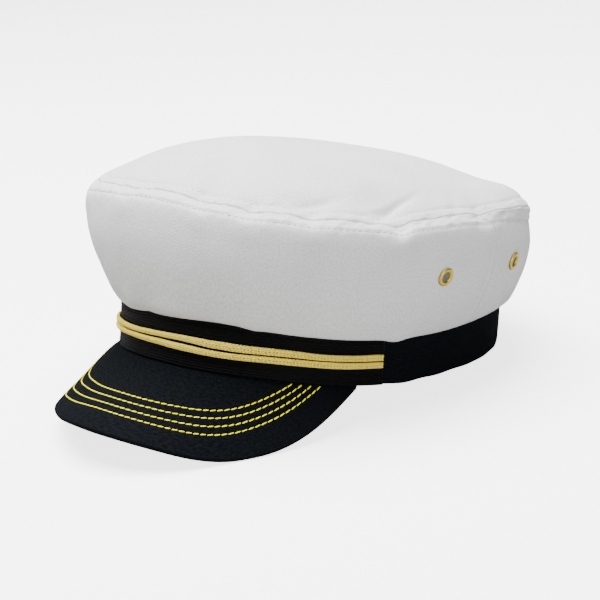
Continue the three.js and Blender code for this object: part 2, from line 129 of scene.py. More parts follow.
# Dents (positive depth) and swellings (negative): angle, level, depth, spread, run.
DENTS = (
    (15, 0.02, 0.4, 5, 0.16),
    (27, 0, 0.35, 5, 0.14),
    (40, 0.16, 0.65, 7, 0.14),
    (45, -0.26, -0.45, 8, 0.12),
    (62, 0.24, 1, 7, 0.2),
    (69, -0.26, -0.4, 7, 0.12),
    (97, 0, 0.4, 6, 0.18),
    (124, 0.2, -0.9, 16, 0.22),
    (138, 0.08, 0.5, 7, 0.16),
    (158, 0.12, 0.5, 8, 0.16),
    (-8, 0.1, 0.35, 6, 0.14),
    (-30, 0.16, 0.5, 7, 0.16),
    (-52, 0.2, 0.75, 7, 0.2),
    (-78, 0, 0.4, 6, 0.16),
    (-104, 0.14, 0.6, 7, 0.16),
    (-140, 0.1, 0.5, 8, 0.16),
    (-46, 0.06, -0.6, 22, 0.16),
)

# Shape of the peak from the wearer's right to the left.
PEAK_SHAPE = {
    "across": (-1, -0.75, -0.5, -0.25, 0, 0.25, 0.5, 0.75, 1),
    "slope": (44.5, 49.2, 41.7, 30.6, 23, 29, 45.8, 51.8, 45.3),
    "trim": (0, 0.07, 0.12, 0.09, 0, 0, 0.01, -0.03, 0),
    "swell": (0, 3, 2.2, 0.6, 0, 0, 0, 0.3, 0),
}

# Each braid's node, and the columns below that hold its lower and upper edge.
BRAIDS = (
    ("braid_lower", "foot", "parting_foot"),
    ("braid_upper", "parting_top", "top"),
)
# Edges of the braids as shares of the band's height.
BRAID_PATH = {
    "angle": (-66, -35, -10, 6, 18, 33, 50, 66),
    "foot": (0.374, 0.364, 0.369, 0.342, 0.331, 0.358, 0.369, 0.39),
    "parting_foot": (0.519, 0.486, 0.492, 0.497, 0.47, 0.508, 0.519, 0.535),
    "parting_top": (0.535, 0.508, 0.524, 0.551, 0.508, 0.529, 0.535, 0.551),
    "top": (0.684, 0.647, 0.641, 0.679, 0.674, 0.69, 0.674, 0.7),
}

# Vent eyelets: node, angle and height between the band and the shoulder fold.
EYELETS = (
    ("eyelet_left_front", 81, 0.575),
    ("eyelet_left_back", 113, 0.6),
    ("eyelet_right_front", -81, 0.575),
    ("eyelet_right_back", -113, 0.6),
)

# Rows of stitching on the peak, in millimetres in from the outermost, and how far that one lies out
# from the band.
PEAK_ROWS = (14.8, 9.95, 4.95, 0)
ROW_PATH = {
    "across": (
        -1, -0.88, -0.77, -0.66, -0.57, -0.48, -0.38, -0.27, -0.15,
        0, 0.14, 0.28, 0.4, 0.52, 0.66, 0.81, 0.95,
    ),
    "reach": (-14, 0, 14.5, 26.8, 33.4, 36.6, 38.6, 40.4, 42.7, 44.7, 44.3, 41.3, 36, 27.6, 15.5, 0, -14),
}

# Light of the studio: each softbox has a place, a width in metres and a power in watts.
SOFTBOXES = (
    ("softbox_top", (-0.25, -0.05, 1.25), 1.2, 74),
    ("softbox_side", (-1.3, -0.9, 0.6), 0.9, 4),
    ("softbox_front", (1.5, -0.8, 0.45), 1.2, 19),
)
WORLD_LIGHT = 0.14
# What the floor gives back, as the camera sees it and as it lights the hat, and its own glow.
FLOOR_WHITE = 0.93
FLOOR_BOUNCE = 0.35
FLOOR_GLOW = 3.0
# The floor lies this far under the hat, in metres, so that no faces share a plane.
FLOOR_DROP = 0.0002

# Courses count up the crown: the side's from the band, through the shoulder fold, to the top seam, and
# then the top's to its middle. The last one under the seam counts as LAST_COURSE millimetres, and both
# panels stop SEAM_HOLD of a course short of the seam.
SIDE_COURSE = 6.0
TOP_COURSE = 20.0
SHOULDER_COURSE = 5.0
LAST_COURSE = 6.2
SEAM_HOLD = 0.004
# The roll of cloth over the band's upper edge ends at this course and takes this share of the rows.
ROLL_COURSE = 2
ROLL_ROWS = 0.12
# Rows of the crown crowd towards its seam by the first of these, and ease off by the second.
CROWD_PULL = 0.14
CROWD_EASE = 0.022

# Soft waves in the cloth: height in millimetres, how many are mixed, their shortest and longest
# lengths, and a seed. The braids' heights are shares of the band's.
WAVES = {
    "pucker": (0.32, 14, 3.5, 10, 3),
    "sag": (0.28, 9, 34, 90, 5),
    "crumple": (0.05, 14, 9, 22, 6),
    "gather": (0.28, 8, 12, 30, 8),
    "band_face": (0.22, 7, 18, 60, 11),
    "band_edge": (0.3, 6, 20, 60, 12),
    "ribbon": (0.2, 7, 12, 45, 21),
    "braid_lower": (0.0028, 6, 9, 40, 31),
    "braid_upper": (0.0028, 6, 9, 40, 37),
    "peak": (0.12, 8, 16, 50, 41),
}

# Width and height in metres over which the weave of each piece is laid.
CLOTH_LAYOUT = {
    "crown_side_front": (0.36, 0.075),
    "crown_side_back": (0.3, 0.075),
    "band": (0.6, 0.05),
    "band_ribbon": (0.22, 0.0217),
    "braid_lower": (0.215, 0.0043),
    "braid_upper": (0.215, 0.0043),
    "peak": (0.17, 0.12),
}
# The top panel's weave is laid over a disc of this reach, and the back's starts this far along.
TOP_LAYOUT = 0.1
BACK_LAYOUT_START = 0.2

# The diagonal of the twills and the distance between their ribs, and the slant of the braids' strands.
TWILL_TURN = math.radians(58)
TWILL_PITCH = 1.3
STRAND_TURN = math.radians(50)


# Shapes


def read_table(table, key, column, at):
    """A column of a table as a smooth curve through its rows, level at both ends."""
    keys = np.asarray(table[key], float)
    values = np.asarray(table[column], float)
    at = np.asarray(at, float)
    row = np.clip(np.searchsorted(keys, at, side="right") - 1, 0, len(keys) - 2)
    slopes = np.zeros(len(keys))
    slopes[1:-1] = (values[2:] - values[:-2]) / (keys[2:] - keys[:-2])
    span = keys[row + 1] - keys[row]
    t = np.clip((at - keys[row]) / span, 0, 1)
    rise = t * t * (3 - 2 * t)
    leave = t * (1 - t) ** 2 * span * slopes[row]
    arrive = t * t * (1 - t) * span * slopes[row + 1]
    return values[row] + (values[row + 1] - values[row]) * rise + leave - arrive


def oval_reach(front, back, half, angle):
    """Reach of an egg-shaped oval at an angle from its front."""
    length = (front + back) / 2 + (front - back) / 2 * np.cos(angle)
    return length * half / np.hypot(half * np.cos(angle), length * np.sin(angle))


def on_ring(reach, angle, height):
    return np.stack([reach * np.sin(angle), -reach * np.cos(angle), height + 0 * angle], -1)


def section_at(angle):
    """The named rings of the hat at each angle."""
    degrees = np.abs(np.degrees(np.arctan2(np.sin(angle), np.cos(angle))))
    share = {name: read_table(SECTIONS, "angle", name, degrees) for name in SECTIONS if name != "angle"}
    front = BAND_LENGTH / 2 - BAND_SETBACK
    back = BAND_LENGTH / 2 + BAND_SETBACK
    half = BAND_WIDTH / 2
    shoulder = (front + OVERHANG_FRONT, back + OVERHANG_BACK, half + OVERHANG_SIDE)
    inset = (SEAM_INSET_FRONT, SEAM_INSET_BACK, SEAM_INSET_SIDE)
    seam = tuple(a - b for a, b in zip(shoulder, inset))
    foot = EDGE_WAVE * share["edge"]
    shoulder_height = BAND_HEIGHT + SIDE_HEIGHT * share["shoulder_rise"]
    return {
        "band": oval_reach(front, back, half, angle) * share["band_reach"],
        "foot": foot,
        "band_top": foot + BAND_HEIGHT,
        "shoulder": oval_reach(*shoulder, angle) * share["shoulder_reach"],
        "shoulder_height": shoulder_height,
        "seam": oval_reach(*seam, angle) * share["seam_reach"],
        "seam_height": shoulder_height + SEAM_LIFT * share["seam_rise"],
    }


SEAM_MEAN = float(section_at(np.array(math.pi / 2))["seam_height"])


def side_sheet(angle, course):
    """The crown's side: a centripetal spline from the band up to the top seam."""
    ring = section_at(angle)
    low = ring["band_top"] + GAP
    belly = FULLNESS * (ring["shoulder_height"] - ring["band_top"]) / SIDE_HEIGHT

    def between(share, fullness):
        reach = ring["band"] * (1 - share) + ring["shoulder"] * share + fullness * belly
        height = ring["band_top"] * (1 - share) + ring["shoulder_height"] * share
        return on_ring(reach, angle, height)

    knots = [
        on_ring(ring["band"] - BAND_WALL, angle, low),
        on_ring(ring["band"] + 0.3 * ROLL, angle, low),
        on_ring(ring["band"] + ROLL, angle, low + 0.8 * ROLL),
        between(0.5, 1),
        between(0.75, 0.8),
        on_ring(ring["shoulder"], angle, ring["shoulder_height"]),
        on_ring(ring["seam"], angle, ring["seam_height"]),
    ]
    knots = [2 * knots[0] - knots[1]] + knots + [2 * knots[-1] - knots[-2]]
    knots = np.stack(knots)
    leg = np.clip(np.floor(course).astype(int), 0, 5)
    pick = [np.take_along_axis(knots, (leg + k)[None, :, None].repeat(3, 2), 0)[0] for k in range(4)]
    steps = [np.maximum(np.linalg.norm(b - a, axis=-1), 1e-4) ** 0.5 for a, b in zip(pick, pick[1:])]
    d0, d1, d2 = (s[:, None] for s in steps)
    p0, p1, p2, p3 = pick
    t1 = ((p1 - p0) / d0 - (p2 - p0) / (d0 + d1) + (p2 - p1) / d1) * d1
    t2 = ((p2 - p1) / d1 - (p3 - p1) / (d1 + d2) + (p3 - p2) / d2) * d1
    w = (course - leg)[:, None]
    return p1 + t1 * w + (3 * (p2 - p1) - 2 * t1 - t2) * w ** 2 + (2 * (p1 - p2) + t1 + t2) * w ** 3


def crown_sheet(angle, course):
    """The crown's outer face as one sheet, up the side and over the top."""
    ring = section_at(angle)
    out = np.clip(1 - (course - SIDE_COURSE) / TOP_COURSE, 0, 1)
    inner = 1 - out * out
    height = ring["seam_height"] * out * out + inner * SEAM_MEAN
    height = height + inner * out * TOP_PITCH * np.cos(angle)
    height = height + inner * out * out * TOP_SADDLE * np.cos(2 * angle)
    height = height + TOP_RISE * (1 - out ** TOP_FLATNESS)
    top = on_ring(ring["seam"] * out, angle, height)
    side = side_sheet(angle, np.clip(course, 0, SIDE_COURSE))
    return np.where((course > SIDE_COURSE)[:, None], top, side)


def face_normal(face, across, along, across_step, along_step):
    side = face(across + across_step, along) - face(across - across_step, along)
    rise = face(across, along + along_step) - face(across, along - along_step)
    normal = np.cross(side, rise)
    return normal / np.maximum(np.linalg.norm(normal, axis=-1), 1e-9)[:, None]


def waves(points, count, shortest, longest, seed):
    """Soft waves through space, of mixed wavelengths and headings, about 1 high."""
    rng = np.random.default_rng(seed)
    total = np.zeros(len(points))
    for _ in range(count):
        length = shortest * (longest / shortest) ** rng.random()
        heading = rng.normal(size=3)
        heading /= np.linalg.norm(heading)
        total += np.sin(points @ heading * math.tau / length + rng.random() * math.tau)
    return total / math.sqrt(count)


def cloth_waves(name, points):
    height, count, shortest, longest, seed = WAVES[name]
    return height * waves(points, count, shortest, longest, seed)


def hill(x, width):
    return np.exp(-(x / width) ** 2)


def crowd(share):
    """Moves rows towards 1, where the fine relief of a seam is."""
    return share + CROWD_PULL * np.sin(math.pi * share) - CROWD_EASE * np.sin(2 * math.pi * share)


def turn_between(angle, degrees):
    turn = angle - math.radians(degrees)
    return np.degrees(np.arctan2(np.sin(turn), np.cos(turn)))


# Creases that the stitching pulls into the cloth: angle, level above the top seam, depth, spread across
# in degrees, run along the seam's height, and lean in degrees of angle for each millimetre up.
CREASES = (
    (12, 1.0, 0.9, 1.6, 5, 0.3),
    (19, -1.0, 0.5, 1.2, 4, -0.2),
    (27, 1.0, 0.8, 1.5, 5, 0.2),
    (33, 5.0, 0.5, 1.4, 4, 0.5),
    (42, 2.0, 1.0, 2.2, 6, 0.6),
    (42, 8.0, 1.4, 3.5, 4, 1.2),
    (55, 2.0, 0.5, 1.5, 5, -0.4),
    (61, 4.0, 1.5, 2.4, 7, 0.9),
    (67, 9.5, 1.8, 3.4, 4.5, 1.9),
    (66, -3.0, 0.7, 1.8, 4, 0.3),
    (78, 1.0, 0.6, 1.4, 5, -0.3),
    (88, 3.0, 0.6, 1.8, 6, 0.5),
    (97, 0.0, 0.5, 2.2, 8, 0.2),
    (112, 2.0, 0.6, 1.6, 5, 0.4),
    (126, 3.0, 0.9, 2.2, 6, -0.5),
    (142, 1.0, 0.7, 1.6, 5, 0.4),
    (160, 3.0, 0.8, 2.0, 6, 0.6),
    (176, 1.0, 0.6, 1.6, 5, -0.4),
    (-4, 1.0, 0.5, 1.5, 4, 0.3),
    (-17, 2.0, 0.8, 1.8, 6, -0.5),
    (-30, 1.0, 0.6, 1.5, 5, 0.3),
    (-44, 3.0, 1.0, 2.2, 6, -0.7),
    (-60, 2.0, 0.7, 1.6, 5, 0.5),
    (-75, 4.0, 1.1, 2.4, 7, -0.8),
    (-92, 1.0, 0.7, 1.6, 5, 0.3),
    (-110, 3.0, 0.9, 2.0, 6, 0.6),
    (-128, 1.0, 0.6, 1.5, 5, -0.4),
    (-150, 3.0, 0.9, 2.2, 6, 0.5),
    (-166, 1.0, 0.6, 1.5, 5, 0.3),
    (127, 8.0, -1.8, 14, 15, 0),
    (131, -24.0, -1.2, 14, 10, 0),
)
# Kinks where the top seam is pulled down: angle, drop in millimetres, spread in degrees.
SEAM_KINKS = (
    (15, 0.7, 2.5), (27, 0.9, 3), (42, 1.0, 3), (64.5, 2.2, 3.2), (97.5, 0.9, 3), (121, 0.8, 3),
    (152, 0.9, 4), (-9, 0.7, 3), (-31, 0.9, 3), (-53, 1.2, 3.5), (-82, 0.8, 3), (-112, 1.0, 3),
    (-141, 0.8, 3), (178, 0.8, 3),
)
# Under each kink the cloth bulges: by a share of the drop, over a share of the spread, and this far
# below the seam and this far up and down, in millimetres.
BULGE_SHARE = 0.95
BULGE_SPREAD = 1.3
BULGE_BELOW = 8.8
BULGE_RUN = 2.8
# A kink pulls the cloth most this far below the seam, over this run, and puckers lie likewise.
KINK_BELOW = 2
KINK_RUN = 9
PUCKER_BELOW = 1.5
PUCKER_RUN = 5.5
# Within this distance of the seam the cloth is too stiff to sag. Gathers lie this many courses to each
# side of the roll's end.
STIFF_RUN = 9
GATHER_RUN = 0.8
# Kinks of the seam between band and crown: angle, rise, spread.
EDGE_KINKS = (
    (-16, -0.8, 6), (-6, 0.5, 2.5), (18, 1.6, 12), (27, -0.6, 3),
    (72, -1.4, 4.5), (-70, 0.8, 9), (-118, -0.8, 7), (140, 0.7, 10),
)
# The upper row of topstitching lies this far above the top seam. The seam and the stitching press
# grooves of these depths and widths.
TOPSTITCH_ABOVE = 4.2
SEAM_GROOVE = 0.55
SEAM_GROOVE_WIDTH = 0.3
STITCH_GROOVE = 0.4
STITCH_GROOVE_WIDTH = 0.7
# The felled side seams have a row of stitches this far to each side of their middle. Across them lie
# two grooves and the ridge between: place, depth and width of each.
FELL_HALF = 2.5
FELL_PROFILE = ((-FELL_HALF, 0.25, 0.5), (0, -0.25, 2.2), (FELL_HALF, 0.22, 0.6))
# Their stitching runs between these shares of the side's courses.
FELL_STITCHED = (0.36, 0.97)
# Each side panel stops short of its seam by PANEL_GAP / BAND_WIDTH, an angle in radians.
PANEL_GAP = 0.06
# Topstitches are set at this many of their lengths, and lie this far over the cloth. A needle hole, a grey
# bead of painted shade, has this length, width and height, and lies this far under the thread.
CROWN_PITCH = 1.18
THREAD_LIFT = 0.06
FELL_THREAD_LIFT = 0.05
NEEDLE_HOLE = (1.05, 0.7, 0.4)
HOLE_SINK = 0.1
# Each thread's height as a share of its width, and how far its stitches slant.
CROWN_THREAD_HEIGHT = 0.8
PEAK_THREAD_HEIGHT = 0.75
CROWN_SLANT = math.radians(5)
PEAK_SLANT = math.radians(7)

# The band's edges are rounded by this much, and the higher the power, the sharper.
BAND_CORNER = 0.35
CORNER_POWER = 12

# The ribbon: height of its ribs, how far they sway, wall of its cloth, and the shares of the band's
# height that it leaves free and at which its edges are stitched, with length, width, height and pitch
# of the stitches.
RIB_HEIGHT = 0.16
RIB_SWAY = 0.8
RIBBON_CLOTH = 0.4
RIBBON_MARGIN = 0.004
RIBBON_ROWS = (0.075, 0.925)
# Its cut ends turn in towards the band, down to RIBBON_END of its distance from it, within the last
# 1 / END_RISE of each half. Its stitches lie RIBBON_THREAD_LIFT over it.
RIBBON_END = 0.55
END_RISE = 60
RIBBON_THREAD_LIFT = 0.05
RIBBON_STITCH = (2.4, 0.4, 0.3)
RIBBON_PITCH = 4.2
# Folds across the ribbon: height, share of the band's height, and angle and spread in degrees. Each is
# FOLD_BREADTH broad and climbs by FOLD_LEAN for each degree past FOLD_FROM, as shares of that height.
RIBBON_FOLDS = ((0.5, 0.86, -20, 9), (-0.4, 0.76, -22, 10))
FOLD_FROM = -20
FOLD_LEAN = 0.006
FOLD_BREADTH = 0.05

# The braids: cords side by side, the share of the rows on the outer face, the reach along which twists
# are counted, and the twists' slant. The cords' backs rise from BRAID_BODY of the wall, the twists stand
# TWIST_HEIGHT of it high, and a parting of BRAID_PARTING of it runs along the middle.
BRAID_LOBES = 4
BRAID_FACE = 0.8
BRAID_REACH = 93
TWIST_SLANT = 0.9
TWIST_HEIGHT = 0.12
BRAID_BODY = 0.62
BRAID_PARTING = 0.25

# The peak: crowding of its columns towards the ends, share of the rows on each face, rounding of its
# edge as a share of half the wall, and depth and width of the grooves under its stitching. Its root
# rises by PEAK_TUCK into the band, so that no gap shows between them.
PEAK_CROWDING = 0.97
PEAK_FACE = 0.45
PEAK_ROUNDING = 0.8
ROW_GROOVE = 0.25
ROW_GROOVE_WIDTH = 0.8
PEAK_TUCK = 0.8
# Its thread is sunk this far into the upper face, and stands this far under the lower one, whose grooves
# are this share as deep.
PEAK_THREAD_SINK = 0.02
PEAK_THREAD_BELOW = 0.05
UNDER_GROOVE = 0.8


def side_seam(climb):
    """Angle of the felled seams at a share of the side's courses."""
    return np.radians(SIDE_SEAM_LOW + (SIDE_SEAM_HIGH - SIDE_SEAM_LOW) * climb)


def seam_distance(angle, course):
    """Millimetres over the cloth from the top seam: up over the top positive, down the side negative."""
    ring = section_at(angle)
    return (course - SIDE_COURSE) * np.where(course < SIDE_COURSE, LAST_COURSE, ring["seam"] / TOP_COURSE)


def felled_seam(angle, course):
    """Millimetres round the hat from the nearer side seam."""
    seam = side_seam(np.clip(course / SIDE_COURSE, 0, 1))
    reach = section_at(angle)["shoulder"]
    turn = np.arctan2(np.sin(angle), np.cos(angle))
    return (np.abs(turn) - seam) * reach * np.where(turn < 0, -1, 1)


def crown_relief(angle, course):
    """How far the cloth lies under its plain sheet, in millimetres."""
    ring = section_at(angle)
    step = np.where(course < SIDE_COURSE, (ring["seam_height"] - ring["band_top"]) / SIDE_COURSE,
                    ring["seam"] / TOP_COURSE)
    level = (course - SIDE_COURSE) * step / SIDE_HEIGHT
    depth = np.zeros_like(angle)
    for at, height, share, spread, run in DENTS:
        depth += share * DENT_DEPTH * hill(turn_between(angle, at), spread) * hill(level - height, run)
    from_seam = seam_distance(angle, course)
    for at, height, deep, spread, run, lean in CREASES:
        across = turn_between(angle, at) - lean * (from_seam - height)
        depth += deep * hill(across, spread) * hill(from_seam - height, run)
    for at, drop, spread in SEAM_KINKS:
        bulge = hill(turn_between(angle, at), spread * BULGE_SPREAD)
        depth -= BULGE_SHARE * drop * bulge * hill(from_seam + BULGE_BELOW, BULGE_RUN)
    place = crown_sheet(angle, course)
    depth += cloth_waves("pucker", place) * hill(from_seam + PUCKER_BELOW, PUCKER_RUN)
    depth += SEAM_GROOVE * hill(from_seam, SEAM_GROOVE_WIDTH)
    depth += STITCH_GROOVE * hill(from_seam - TOPSTITCH_ABOVE, STITCH_GROOVE_WIDTH)
    depth += STITCH_GROOVE * hill((course - SHOULDER_COURSE) * LAST_COURSE, STITCH_GROOVE_WIDTH)
    away = felled_seam(angle, course)
    fell = sum(deep * hill(away - at, width) for at, deep, width in FELL_PROFILE)
    depth += fell * np.clip((SIDE_COURSE - course) * 2, 0, 1)
    open_cloth = 1 - hill(from_seam, STIFF_RUN)
    depth += open_cloth * (cloth_waves("sag", place) + cloth_waves("crumple", place))
    depth += cloth_waves("gather", place) * hill(course - ROLL_COURSE, GATHER_RUN)
    return depth


def seam_shift(angle, course):
    """How far stitching and gathers pull the cloth up or down where the seams kink."""
    from_seam = seam_distance(angle, course)
    shift = np.zeros_like(angle)
    for at, drop, spread in SEAM_KINKS:
        shift -= drop * hill(turn_between(angle, at), spread) * hill(from_seam + KINK_BELOW, KINK_RUN)
    return shift + edge_shift(angle) * hill(course - 0.8, 2)


def edge_shift(angle):
    """How far the seam between band and crown wanders up."""
    return sum(rise * hill(turn_between(angle, at), spread) for at, rise, spread in EDGE_KINKS)


def crown_point(angle, course, outwards=0.0):
    step = 0.1
    near_seam = np.abs(course - SIDE_COURSE) < step
    held = np.where(near_seam, SIDE_COURSE, np.clip(course, step, SIDE_COURSE + TOP_COURSE - step))
    normal = face_normal(crown_sheet, angle, held, 0.01, step)
    middle = course > SIDE_COURSE + TOP_COURSE - step
    normal = np.where(middle[:, None], np.array([0.0, 0.0, 1.0]), normal)
    tucked = np.clip(course - 1, 0, 1)
    point = crown_sheet(angle, course) + normal * (outwards - crown_relief(angle, course) * tucked)[:, None]
    point[:, 2] += seam_shift(angle, course)
    return point


def crown_normal(angle, course):
    return face_normal(crown_point, angle, course, 0.012, 0.06)


def band_point(angle, up, outwards):
    ring = section_at(angle)
    height = ring["foot"] + BAND_HEIGHT * up + edge_shift(angle) * np.clip(up, 0, 1) ** 4
    return on_ring(ring["band"] + outwards, angle, height)


def peak_length(across):
    trim = 1 - read_table(PEAK_SHAPE, "across", "trim", across)
    share = np.maximum(1 - np.abs(across) ** PEAK_SQUARENESS, 0) ** PEAK_FULLNESS
    return PEAK_TAIL + (PEAK_LENGTH * trim - PEAK_TAIL) * share


def peak_sheet(across, away):
    """The peak's upper face, this many millimetres out from the band."""
    angle = across * math.radians(PEAK_SPREAD)
    slope = np.radians(read_table(PEAK_SHAPE, "across", "slope", across))
    heading = angle * PEAK_FAN
    root = band_point(angle, 0, -BAND_WALL / 2 + 0 * angle)
    root[:, 2] -= GAP
    ruling = np.stack([np.sin(heading) * np.cos(slope), -np.cos(heading) * np.cos(slope), -np.sin(slope)], -1)
    upright = np.stack([np.sin(heading) * np.sin(slope), -np.cos(heading) * np.sin(slope), np.cos(slope)], -1)
    swell = read_table(PEAK_SHAPE, "across", "swell", across) * (1 - np.exp(-away / PEAK_ROLL))
    return root + ruling * away[:, None] + upright * swell[:, None]


def peak_normal(across, away):
    held = np.clip(across, -0.98, 0.98)
    return -face_normal(peak_sheet, held, np.maximum(away, 0.6), 0.01, 0.5)


def to_table(points):
    """Millimetres in the hat's own frame to metres where it rests, with its cloth flat on the table."""
    placed = turn_to_table(points) + np.array(REST_PLACE)
    placed[..., 2] = np.maximum(placed[..., 2], 0)
    return placed * MM


def turn_to_table(directions):
    cos, sin = math.cos(REST_TILT), math.sin(REST_TILT)
    y = directions[..., 1] * cos + directions[..., 2] * sin
    z = -directions[..., 1] * sin + directions[..., 2] * cos
    return np.stack([directions[..., 0], y, z], -1)


# Meshes


def new_object(name, bm, material, smooth=True):
    """Makes a piece of a bmesh, with the material of this name."""
    mesh = bpy.data.meshes.new(name)
    bm.to_mesh(mesh)
    bm.free()
    for polygon in mesh.polygons:
        polygon.use_smooth = smooth
    mesh.materials.append(bpy.data.materials[material])
    piece = bpy.data.objects.new(name, mesh)
    bpy.context.scene.collection.objects.link(piece)
    return piece


def dress(piece, slot, *nodes):
    """Hangs the piece on the root body and hides the solids that it stands for; slot, its finish, is not
    used.
    """
    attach(piece, "root")
    if nodes:
        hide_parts(*nodes)
    return piece


def sheet_mesh(columns, rows, place, uv_of, close=False, ends=False):
    """A grid laid over a face: place and uv_of take the share across and the share up."""
    bm = bmesh.new()
    bmesh.ops.create_grid(bm, x_segments=columns, y_segments=rows, size=0.5)
    bm.verts.ensure_lookup_table()
    flat = np.array([(v.co.x + 0.5, v.co.y + 0.5) for v in bm.verts])
    points = place(flat[:, 0], flat[:, 1])
    uvs = uv_of(flat[:, 0], flat[:, 1])
    layer = bm.loops.layers.uv.new("UVMap")
    for face in bm.faces:
        for loop in face.loops:
            loop[layer].uv = uvs[loop.vert.index]
    for vert, point in zip(bm.verts, points):
        vert.co = point
    if close:
        bmesh.ops.remove_doubles(bm, verts=bm.verts[:], dist=1e-6)
    if ends:
        rim = [edge for edge in bm.edges if edge.is_boundary]
        bmesh.ops.holes_fill(bm, edges=rim, sides=0)
    return bm


def laid_flat(name, start=0.0):
    """Takes the shares across and up to metres over the cut of the cloth, for the weave."""
    width, height = CLOTH_LAYOUT[name]
    return lambda across, up: np.stack([start + across * width, up * height], -1)


def thicken(piece, wall):
    solid = piece.modifiers.new("wall", "SOLIDIFY")
    solid.thickness = wall * MM
    solid.offset = -1


def thread_stitches(name, runs, length, width, height, slant, material, offset=0.0):
    """Stitches laid end to end along each run of points, as sunk beads of thread."""
    stitch = bpy.data.meshes.new(name + "_stitch")
    bead = bmesh.new()
    bmesh.ops.create_uvsphere(bead, u_segments=8, v_segments=6, radius=0.5)
    for vert in bead.verts:
        vert.co.z *= 1 - 0.25 * (2 * abs(vert.co.z)) ** 3
    bead.to_mesh(stitch)
    bead.free()
    bm = bmesh.new()
    for points, normals, pitch in runs:
        legs = np.linalg.norm(np.diff(points, axis=0), axis=1)
        along = np.concatenate([[0], np.cumsum(legs)])
        count = max(1, int(along[-1] / pitch))
        for k in range(count):
            mid = (k + 0.5) * along[-1] / count + offset
            at, ahead, behind, up = (
                Vector([np.interp(s, along, source[:, axis]) for axis in range(3)])
                for s, source in (
                    (mid, points),
                    (mid + length / 2, points),
                    (mid - length / 2, points),
                    (mid, normals),
                )
            )
            tangent = (ahead - behind).normalized()
            side = up.cross(tangent).normalized()
            up = tangent.cross(side)
            turn = Matrix((side, up, tangent)).transposed().to_4x4()
            lean = Matrix.Rotation(slant, 4, "Y")
            size = Matrix.Diagonal((width, height, length, 1))
            place = Matrix.Translation(at) @ turn @ lean @ size
            copy = stitch.copy()
            copy.transform(place)
            bm.from_mesh(copy)
            bpy.data.meshes.remove(copy)
    bpy.data.meshes.remove(stitch)
    return new_object(name, bm, material)


# Materials


def linear(code):
    """An sRGB hex colour as linear red, green, blue and alpha."""
    values = [int(code[i:i + 2], 16) / 255 for i in (1, 3, 5)]
    return tuple(v / 12.92 if v <= 0.04045 else ((v + 0.055) / 1.055) ** 2.4 for v in values) + (1.0,)


def add(tree, kind, links=None, **settings):
    """Adds a node. Settings name its properties or inputs; links join inputs to outputs."""
    node = tree.nodes.new(kind)
    for name, value in settings.items():
        if name in node.bl_rna.properties:
            setattr(node, name, value)
        else:
            node.inputs[name.replace("_", " ")].default_value = value
    for name, source in (links or {}).items():
        target = node.inputs[name] if isinstance(name, int) else node.inputs[name.replace("_", " ")]
        tree.links.new(source, target)
    return node


def start_material(name):
    material = bpy.data.materials.new(name)
    material.use_nodes = True
    material.node_tree.nodes.clear()
    return material.node_tree


def finish_material(tree, shader):
    add(tree, "ShaderNodeOutputMaterial", {"Surface": shader.outputs[0]})


def millimetres(tree, turn=0.0, stretch=(1, 1, 1)):
    """The piece's own UV map, which is in metres over the cloth, as millimetres."""
    where = add(tree, "ShaderNodeUVMap", uv_map="UVMap")
    scale = tuple(s / MM for s in stretch)
    return add(tree, "ShaderNodeMapping", {"Vector": where.outputs["UV"]}, Scale=scale,
               Rotation=(0, 0, turn)).outputs["Vector"]


def object_millimetres(tree):
    where = add(tree, "ShaderNodeTexCoord")
    scale = (1 / MM,) * 3
    return add(tree, "ShaderNodeMapping", {"Vector": where.outputs["Object"]}, Scale=scale).outputs["Vector"]


def noise(tree, vector, scale, detail, roughness=0.5):
    return add(tree, "ShaderNodeTexNoise", {"Vector": vector}, Scale=scale, Detail=detail,
               Roughness=roughness)


def bands(tree, vector, pitch, direction, distortion=0.0):
    """Stripes with a period of pitch millimetres."""
    return add(tree, "ShaderNodeTexWave", {"Vector": vector}, wave_type="BANDS", bands_direction=direction,
               Scale=math.tau / 20 / pitch, Distortion=distortion, Detail=1.0)


def mix(tree, factor, low, high):
    """Mixes two plain colours by a socket."""
    node = add(tree, "ShaderNodeMix", {0: factor}, data_type="RGBA")
    node.inputs[6].default_value = low
    node.inputs[7].default_value = high
    return node.outputs[2]


def blend(tree, factor, low, high):
    """Mixes two colour sockets by a plain factor."""
    return add(tree, "ShaderNodeMix", {6: low, 7: high}, data_type="RGBA", Factor=factor).outputs[2]


def times(tree, value, factor):
    node = add(tree, "ShaderNodeMath", {0: value}, operation="MULTIPLY")
    node.inputs[1].default_value = factor
    return node.outputs[0]


def surface(tree, colour, bump=None, **settings):
    """The finish itself, from a colour socket and the bump of the weave."""
    links = {"Base_Color": colour}
    if bump:
        links["Normal"] = bump.outputs["Normal"]
    finish_material(tree, add(tree, "ShaderNodeBsdfPrincipled", links, **settings))


def ramp(tree, factor, stops):
    node = add(tree, "ShaderNodeValToRGB", {"Fac": factor})
    elements = node.color_ramp.elements
    while len(elements) < len(stops):
        elements.new(0.5)
    for element, (place, colour) in zip(elements, stops):
        element.position = place
        element.color = colour
    return node.outputs["Color"]


def raised(tree, height, strength, depth):
    """Bump of a height, this many millimetres deep."""
    return add(tree, "ShaderNodeBump", {"Height": height}, Strength=strength, Distance=depth * MM)


def twill(tree, pitch, depth, strength):
    """Bump of a twill: diagonal ribs of pitch millimetres, broken up by uneven yarn."""
    ribs = bands(tree, millimetres(tree, TWILL_TURN), pitch, "X", 5.0)
    yarn = noise(tree, millimetres(tree), 1.1, 5.0, 0.7)
    uneven = times(tree, yarn.outputs["Fac"], 5.0)
    height = add(tree, "ShaderNodeMath", {0: ribs.outputs["Fac"], 1: uneven}, operation="ADD")
    return raised(tree, height.outputs[0], strength, depth)


